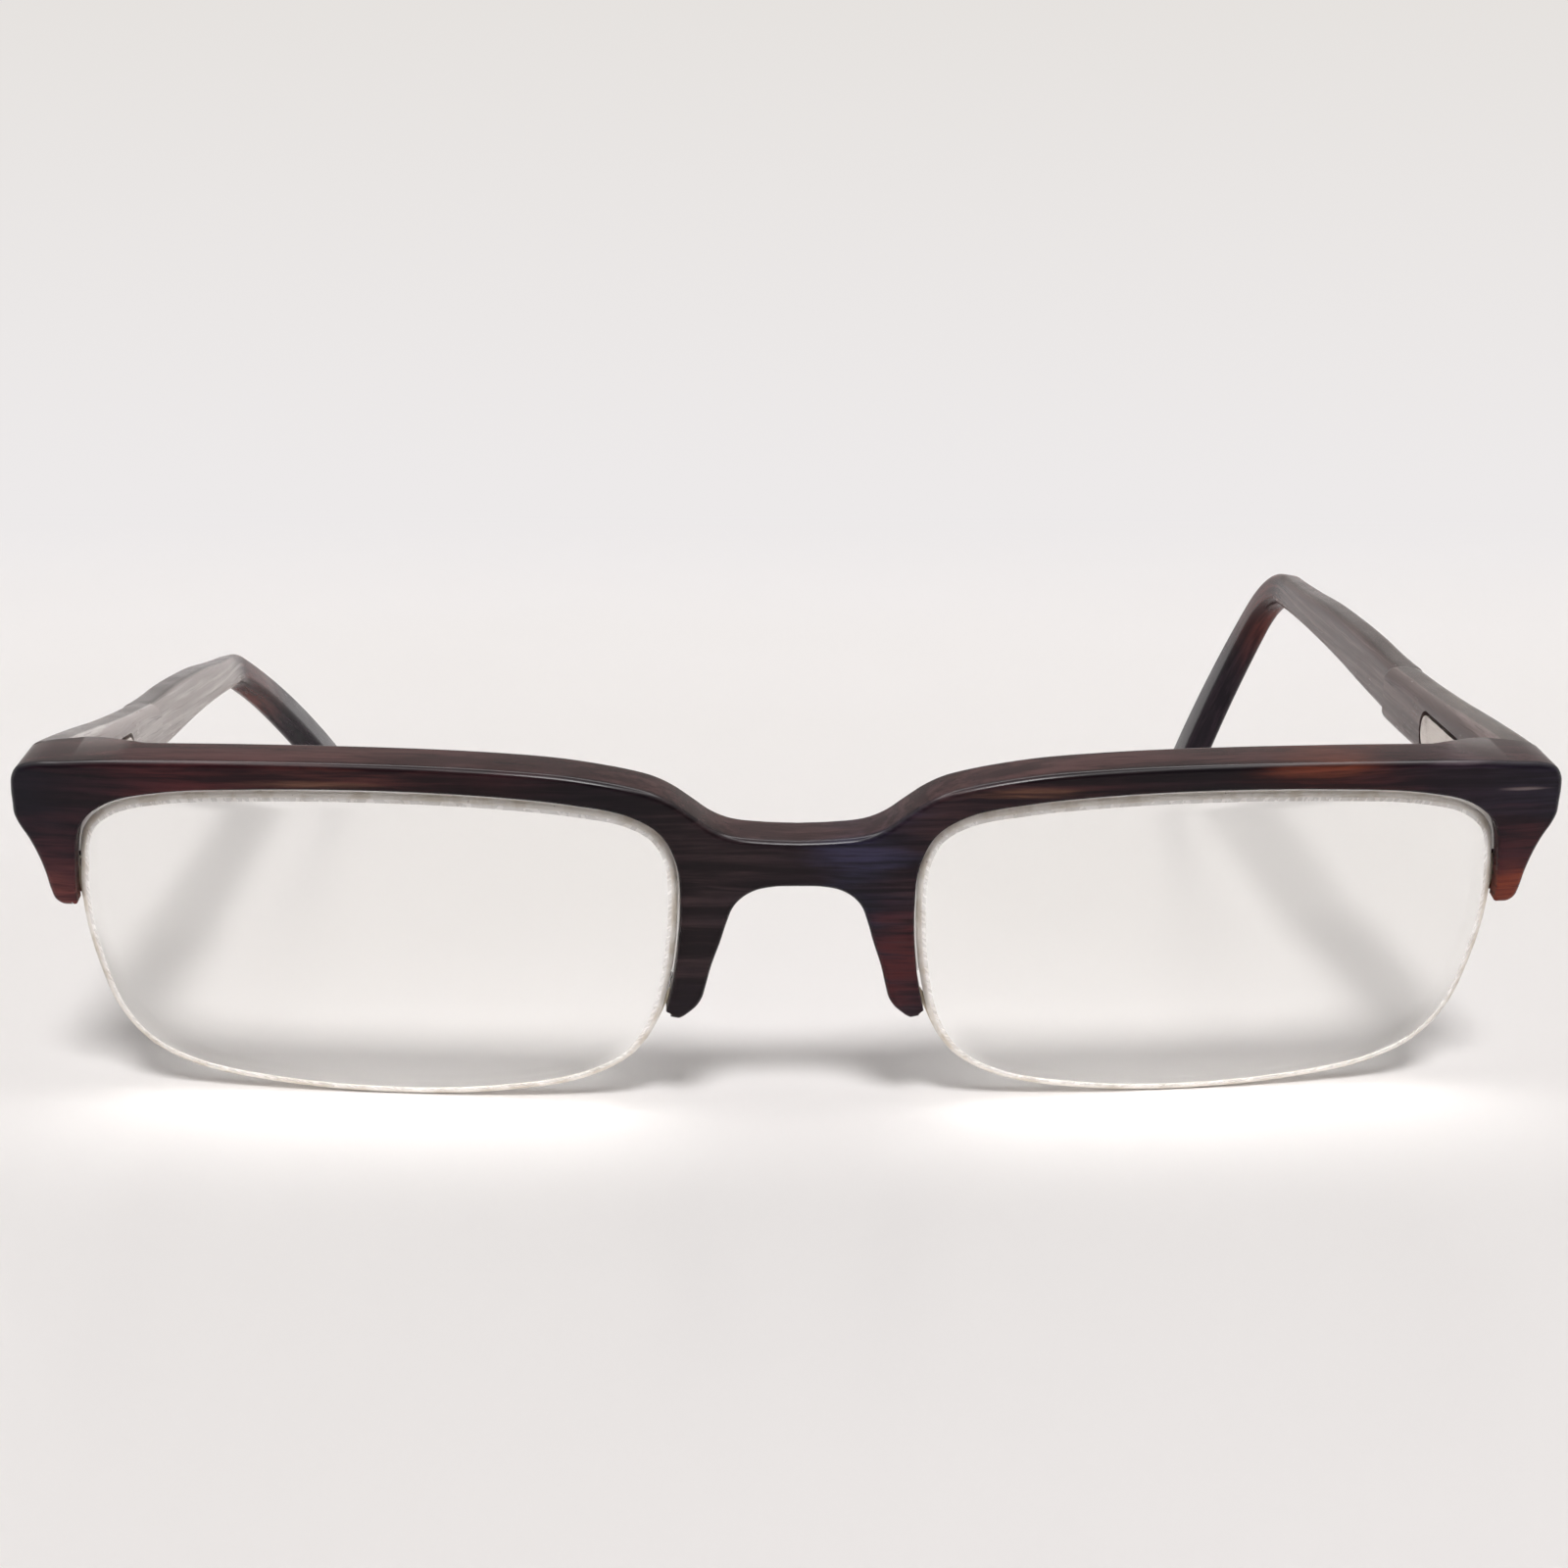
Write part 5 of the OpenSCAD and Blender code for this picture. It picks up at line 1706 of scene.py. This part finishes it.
    def make(self, materials: list[bpy.types.Material]) -> bpy.types.Object:
        """Builds the temple, cuts its seat, leaf pocket and hinge well, and dresses it.

        Args:
            materials: the horn.

        Returns:
            The temple.
        """
        form, hinge = self.form, Hinge(self.form)
        rings = self.rings(self.stops())
        faces = Surface.capped(*rings.shape[:2])
        body = Surface.build(f"{self.side.word}_temple_horn", rings, faces)
        far, seat_back = hinge.beyond, form.seat_gap * math.cos(form.lean)
        seat = Matrix.Translation(tuple(self.origin)) @ Matrix.Rotation(form.lean, 4, "X")
        pocket = self.own_matrix() @ Matrix.Translation((-form.temple_inner - far, 0, 0))
        pocket_end = self.leaf_len + (self.pocket_h - self.leaf_h) / 2 + form.seat_gap
        cutters = [
            Cutter.box((-far, seat_back - 2 * far, -far), (2 * far,) * 3, seat),
            Cutter.strip(-far, pocket_end, self.pocket_h, far + hinge.leaf_t + form.fit, pocket),
            hinge.well(Side.LEFT),
            hinge.notch(),
        ]
        Surface.cut(body, cutters)
        points = Surface.points_of(body)
        grain = self.grain_of(points)
        if self.side is Side.RIGHT:
            turned = (mirrored(points, self.side) * MM).astype(np.float32)
            body.data.vertices.foreach_set("co", turned.ravel())
            body.data.flip_normals()
        Surface.write_grain(body, grain)
        Surface.finish(body, materials, crease=38)
        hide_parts(f"{self.side.word}_temple")
        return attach(body, f"{self.side.word}_temple")


@dataclass
class Metalwork:
    """The hinge leaves, the screws and the core wires, which are the solids themselves."""

    leaves: SatinMetal = SatinMetal(
        "hinge_nickel_silver", tone(214, 206, 200), tone(176, 166, 160), (2.0, 0.5, 6.0), 0.36
    )
    screws: SatinMetal = SatinMetal(
        "screw_steel_turned", tone(200, 198, 196), tone(160, 156, 152), (3.0, 3.0, 3.0), 0.28
    )
    wires: SatinMetal = SatinMetal(
        "core_wire_drawn", tone(206, 202, 194), tone(170, 164, 156), (5.0, 0.3, 5.0), 0.34
    )

    def dress(self) -> int:
        """Gives each metal solid its finish.

        Returns:
            The number of solids dressed.
        """
        finishes = {"leaf": self.leaves.make(), "screw": self.screws.make(), "wire": self.wires.make()}
        dressed = 0
        for name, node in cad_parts.items():
            for word, material in finishes.items():
                if name.endswith(word):
                    node.data.materials.clear()
                    node.data.materials.append(material)
                    dressed += 1
        return dressed


@dataclass
class Studio:
    """Pale table with a swept-up back, a wide soft light from above and in front, and the camera.

    The camera's place and turn, its lens and the picture's width come from the fit to the picture.
    Lengths of the table are millimetres.
    """

    form: FrontForm
    lens_px: float = 2401.35
    picture_px: float = 1600.0
    sensor: float = 36.0
    spot: tuple[float, float, float] = (-9.0966, -198.308, 66.015)
    pitch: float = math.radians(10.692)
    yaw: float = math.radians(2.337)
    roll: float = math.radians(0.4256)
    table_colour: Colour = tone(241, 238, 236)
    table_cloud: Colour = tone(243, 240, 239)
    table_rough: float = 0.3
    table_gloss: float = 0.08
    table_drop: float = 0.02
    table_front: float = -1500.0
    table_back: float = 700.0
    table_side: float = 2500.0
    sweep_radius: float = 600.0
    sweep_steps: int = 24
    wall_top: float = 2400.0
    backdrop_low: Colour = tone(237, 234, 234)
    backdrop_high: Colour = tone(226, 222, 217)
    backdrop_height: float = 420.0
    backdrop_from: float = 150.0
    backdrop_to: float = 620.0
    sun_angle: float = math.radians(16)
    sun_power: float = 2.72
    sun_colour: Colour = (1.0, 0.992, 0.99)
    sun_from: tuple[float, float, float] = (0.02, -0.64, 0.77)
    world_colour: Colour = (1.0, 0.99, 0.985)
    world_light: float = 0.13
    surroundings: float = 0.8
    mirrored_front: float = 0.05
    mirrored_above: float = 1.2
    mirrored_lamp: float = 9.0
    front_to_back: tuple[float, float] = (-0.6, 0.1)
    above_heights: tuple[float, float] = (0.45, 0.78)
    lamp_heights: tuple[float, float, float, float] = (0.82, 0.87, 0.91, 0.95)

    def camera(self) -> None:
        """Places the camera: forward from pitch and yaw, then rolled about its own axis."""
        forward = Vector((
            math.sin(self.yaw) * math.cos(self.pitch),
            math.cos(self.yaw) * math.cos(self.pitch),
            -math.sin(self.pitch),
        ))
        right = Vector((math.cos(self.yaw), -math.sin(self.yaw), 0))
        up = right.cross(forward)
        across = math.cos(self.roll) * right + math.sin(self.roll) * up
        above = -math.sin(self.roll) * right + math.cos(self.roll) * up
        data = bpy.data.cameras.new("picture_camera")
        data.sensor_width = self.sensor
        data.lens = self.sensor * self.lens_px / self.picture_px
        data.clip_start, data.clip_end = 0.01, 20
        made = new_object("picture_camera", data)
        x, y, z = self.spot
        made.matrix_world = Matrix((
            (across.x, above.x, -forward.x, x * MM),
            (across.y, above.y, -forward.y, (y + self.form.rear_shift) * MM),
            (across.z, above.z, -forward.z, z * MM),
            (0, 0, 0, 1),
        ))
        bpy.context.scene.camera = made

    def table(self) -> None:
        """A table whose back sweeps up: flat, then a quarter circle, then a wall."""
        angle, radius = np.linspace(0, np.pi / 2, self.sweep_steps), self.sweep_radius
        front = [[self.table_front, 0.0]]
        sweep = np.stack([self.table_back + np.sin(angle) * radius, (1 - np.cos(angle)) * radius], axis=1)
        top = [[self.table_back + radius, self.wall_top]]
        line = np.vstack([front, sweep, top])
        x = np.tile([-self.table_side, self.table_side], len(line))
        y, z = np.repeat(line, 2, axis=0).T
        points = np.stack([x, y, z - self.table_drop], axis=1)
        faces = 2 * np.arange(len(line) - 1)[:, None] + [0, 1, 3, 2]
        mesh = bpy.data.meshes.new("table")
        mesh.from_pydata((points * MM).tolist(), [], faces.tolist())
        mesh.polygons.foreach_set("use_smooth", np.ones(len(faces), bool))
        mesh.materials.append(self.table_finish())
        new_object("table", mesh)

    def table_finish(self) -> bpy.types.Material:
        """The table's finish, pale with faint clouds.

        Its far part is a plain pale backdrop for the camera, for glass and for polished faces, whose
        colour changes with height. All other light meets the table itself.

        Returns:
            The material.
        """
        recipe = Recipe.named("table_pale")
        spot = recipe.place()
        _, back, up = recipe.parts(spot)
        clouds = recipe.noise(spot, (0.004, 0.004, 0.004), detail=2)
        colour = recipe.mix(recipe.between(clouds, 0.3, 0.7), self.table_colour, self.table_cloud)
        table = recipe.surface(
            Base_Color=colour, Roughness=self.table_rough, Specular_IOR_Level=self.table_gloss
        )
        height = recipe.between(up, 0.0, self.backdrop_height, soft=False)
        glow = recipe.mix(height, self.backdrop_low, self.backdrop_high)
        backdrop = recipe.fed("ShaderNodeEmission", (glow,))
        seen, polished = recipe.rays()
        far = recipe.between(back, self.backdrop_from, self.backdrop_to)
        shown = recipe.calc("MULTIPLY", recipe.calc("MAXIMUM", seen, polished), far)
        both = recipe.fed("ShaderNodeMixShader", (shown, table, backdrop.outputs[0]))
        return recipe.end(both.outputs[0])

    def sun(self) -> None:
        """A wide soft light from above and in front, which lays the front's shadow behind it."""
        data = bpy.data.lights.new("soft_front_light", "SUN")
        data.energy, data.angle, data.color = self.sun_power, self.sun_angle, self.sun_colour
        made = new_object("soft_front_light", data)
        made.rotation_mode = "QUATERNION"
        made.rotation_quaternion = Vector(self.sun_from).to_track_quat("Z", "Y")

    def world(self) -> None:
        """Pale surroundings for the camera and for glass, and an even low light for all the rest.

        Polished faces mirror a world of their own: dim in front, bright behind, brighter above, and a
        narrow bright band high up, which draws the line of light along the brow's upper edge.
        """
        world = bpy.data.worlds.new("studio_world")
        recipe = Recipe(world)
        _, back, up = recipe.parts(recipe.node("ShaderNodeTexCoord").outputs["Generated"])
        behind = recipe.calc("MULTIPLY_ADD", up, 0.6, back)
        around = recipe.between(behind, *self.front_to_back, self.mirrored_front, 1.0)
        above = recipe.between(up, *self.above_heights, 0.0, self.mirrored_above)
        low, full, fading, top = self.lamp_heights
        lamp_low = recipe.between(up, low, full, 0.0, self.mirrored_lamp)
        lamp = recipe.calc("MULTIPLY", lamp_low, recipe.between(up, top, fading))
        mirrored_light = recipe.calc("ADD", recipe.calc("ADD", around, above), lamp)
        seen, polished = recipe.rays()
        other = recipe.calc("SUBTRACT", 1.0, recipe.calc("MAXIMUM", polished, seen))
        low_light = recipe.calc("MULTIPLY", other, self.world_light)
        plain = recipe.calc("MULTIPLY_ADD", seen, self.surroundings, low_light)
        strength = recipe.calc("MULTIPLY_ADD", polished, mirrored_light, plain)
        shade = recipe.fed("ShaderNodeBackground", (self.world_colour, strength))
        recipe.feed(recipe.node("ShaderNodeOutputWorld").inputs[0], shade.outputs[0])
        bpy.context.scene.world = world

    def set_up(self) -> None:
        """Builds the camera, the table and the light, and the plain view settings."""
        bpy.context.scene.view_settings.view_transform = "Standard"
        self.camera()
        self.table()
        self.sun()
        self.world()


def horn_front() -> HornAcetate:
    """The front's horn: blue-black ends, red-brown arms, a striated bridge and painted highlights.

    Returns:
        The finish.
    """
    black, ink = tone(19, 14, 18), tone(20, 17, 25)
    return HornAcetate(
        "horn_front",
        (
            (-66.0, ink, tone(27, 21, 30)),
            (-60.0, tone(21, 14, 19), tone(42, 24, 31)),
            (-50.0, tone(34, 15, 20), tone(74, 35, 37)),
            (-38.0, tone(33, 17, 21), tone(76, 43, 40)),
            (-27.0, tone(26, 15, 18), tone(52, 28, 32)),
            (-17.0, tone(16, 11, 15), tone(31, 22, 27)),
            (-9.0, tone(24, 16, 19), tone(52, 39, 41)),
            (0.0, tone(23, 15, 19), tone(43, 32, 37)),
            (6.0, ink, tone(42, 38, 54)),
            (12.0, tone(25, 15, 21), tone(56, 38, 41)),
            (24.0, tone(22, 14, 18), tone(54, 32, 34)),
            (34.0, black, tone(36, 24, 29)),
            (45.0, tone(36, 16, 18), tone(76, 35, 32)),
            (54.0, tone(21, 13, 20), tone(38, 27, 36)),
            (66.0, tone(18, 13, 21), tone(34, 28, 40)),
        ),
        (
            Patch(63.0, 22.0, 6.0, 5.4, tone(66, 31, 33), 0.85),
            Patch(64.0, 18.4, 5.5, 4.6, tone(122, 56, 38), 0.95),
            Patch(-63.0, 22.5, 6.0, 5.0, tone(58, 32, 38), 0.8),
            Patch(-64.0, 18.6, 5.5, 4.8, tone(96, 52, 50), 0.95),
            Patch(8.4, 14.5, 3.6, 5.5, tone(72, 30, 31), 0.9),
            Patch(-9.2, 11.0, 3.0, 3.4, tone(24, 16, 22), 0.9),
            Patch(-40.0, 31.4, 5.5, 0.4, tone(118, 86, 68), 0.5),
            Patch(18.5, 31.0, 5.0, 0.5, tone(118, 80, 62), 0.55),
            # Painted highlights: thin pale grey lines on the right end piece.
            Patch(57.0, 32.9, 3.0, 0.25, tone(84, 72, 78), 0.7),
            Patch(63.0, 30.2, 2.4, 0.2, tone(112, 98, 98), 0.8),
            # Painted highlight along the front's upper edge.
            Patch(44.0, 32.6, 6.0, 0.8, tone(126, 66, 46), 0.5),
            Patch(5.0, 25.0, 4.5, 1.8, tone(56, 52, 76), 0.7),
        ),
        # Paler deeper layer; on the top face it is partly painted light.
        core=tone(92, 63, 62),
    )


def horn_temple(side: Side) -> HornAcetate:
    """A temple's horn: red-brown, with a painted reflection paling the inner face, a red patch at the
    bend and a dark tip.

    Args:
        side: the wearer's side.

    Returns:
        The finish.
    """
    # Painted reflection of the pale surroundings on the inner faces, much paler on the right temple.
    inner = {
        Side.LEFT: (tone(98, 84, 83), tone(138, 121, 119)),
        Side.RIGHT: (tone(172, 161, 158), tone(220, 213, 210)),
    }
    return HornAcetate(
        f"horn_{side.word}_temple",
        (
            (-6.0, tone(44, 33, 33), tone(84, 66, 60)),
            (14.0, tone(50, 39, 37), tone(96, 80, 70)),
            (34.0, tone(46, 36, 38), tone(88, 74, 70)),
            (60.0, tone(44, 32, 34), tone(80, 62, 60)),
            (88.0, tone(44, 30, 32), tone(82, 58, 56)),
            (102.0, tone(50, 28, 30), tone(92, 50, 46)),
            (116.0, tone(25, 19, 26), tone(50, 38, 46)),
            (141.0, tone(21, 17, 24), tone(42, 34, 42)),
        ),
        (Patch(102.0, 1.0, 9.0, 3.5, tone(100, 46, 42), 0.7),),
        roughness=0.19,
        grain_length=40.0,
        inner=inner[side],
    )


def main() -> None:
    """Builds the studio, then the glasses piece by piece.

    The drawing is moved back or forth as a whole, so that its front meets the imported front.
    """
    logging.basicConfig(level=logging.INFO, format="%(name)s: %(message)s")
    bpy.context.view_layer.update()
    plain = FrontForm()
    drawn = BrowFront(plain).sections()[0]
    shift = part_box("brow_front")[0].y / MM - drawn[..., 1].min()
    form = FrontForm(rear_shift=float(shift))
    LOG.info("the drawing is moved %.3f mm back", shift)
    Studio(form).set_up()

    front = BrowFront(form).make([horn_front().make()])
    LOG.info("%s: %d faces", front.name, len(front.data.polygons))
    clear, ground = LensResin().make(), GroundEdge().make()
    bevel = GroundEdge(
        "lens_bevel_polished", tone(246, 243, 240), tone(228, 222, 216), rough=0.25, clear=0.15
    )
    liner_nylon = Nylon(
        "nylon_clear", tone(250, 248, 245), tone(222, 214, 205), clear=0.2, rough=0.22, soil=0.5
    )
    cord_nylon = Nylon(
        "nylon_yellowed", tone(206, 194, 172), tone(166, 147, 118), clear=0.05, rough=0.4, soil=0.9
    )
    polished, fresh, aged = bevel.make(), liner_nylon.make(), cord_nylon.make()
    # Pitch, ear bend and inward lean of each temple, in degrees
    bends = {Side.LEFT: (4.9, 55.8153, 15.0), Side.RIGHT: (-1.6, 18.8547, 25.0)}
    for side in Side:
        pitch, bend, lean_in = (math.radians(angle) for angle in bends[side])
        pieces = [
            Lens(form, side).make(clear, polished, ground),
            Liner(form, side).make(fresh),
            Cord(form, side).make(aged),
            Temple(form, side, pitch, bend, lean_in).make([horn_temple(side).make()]),
        ]
        for piece in pieces:
            LOG.info("%s: %d faces", piece.name, len(piece.data.polygons))
    LOG.info("%d metal solids dressed", Metalwork().dress())


if __name__ == "__main__":
    main()
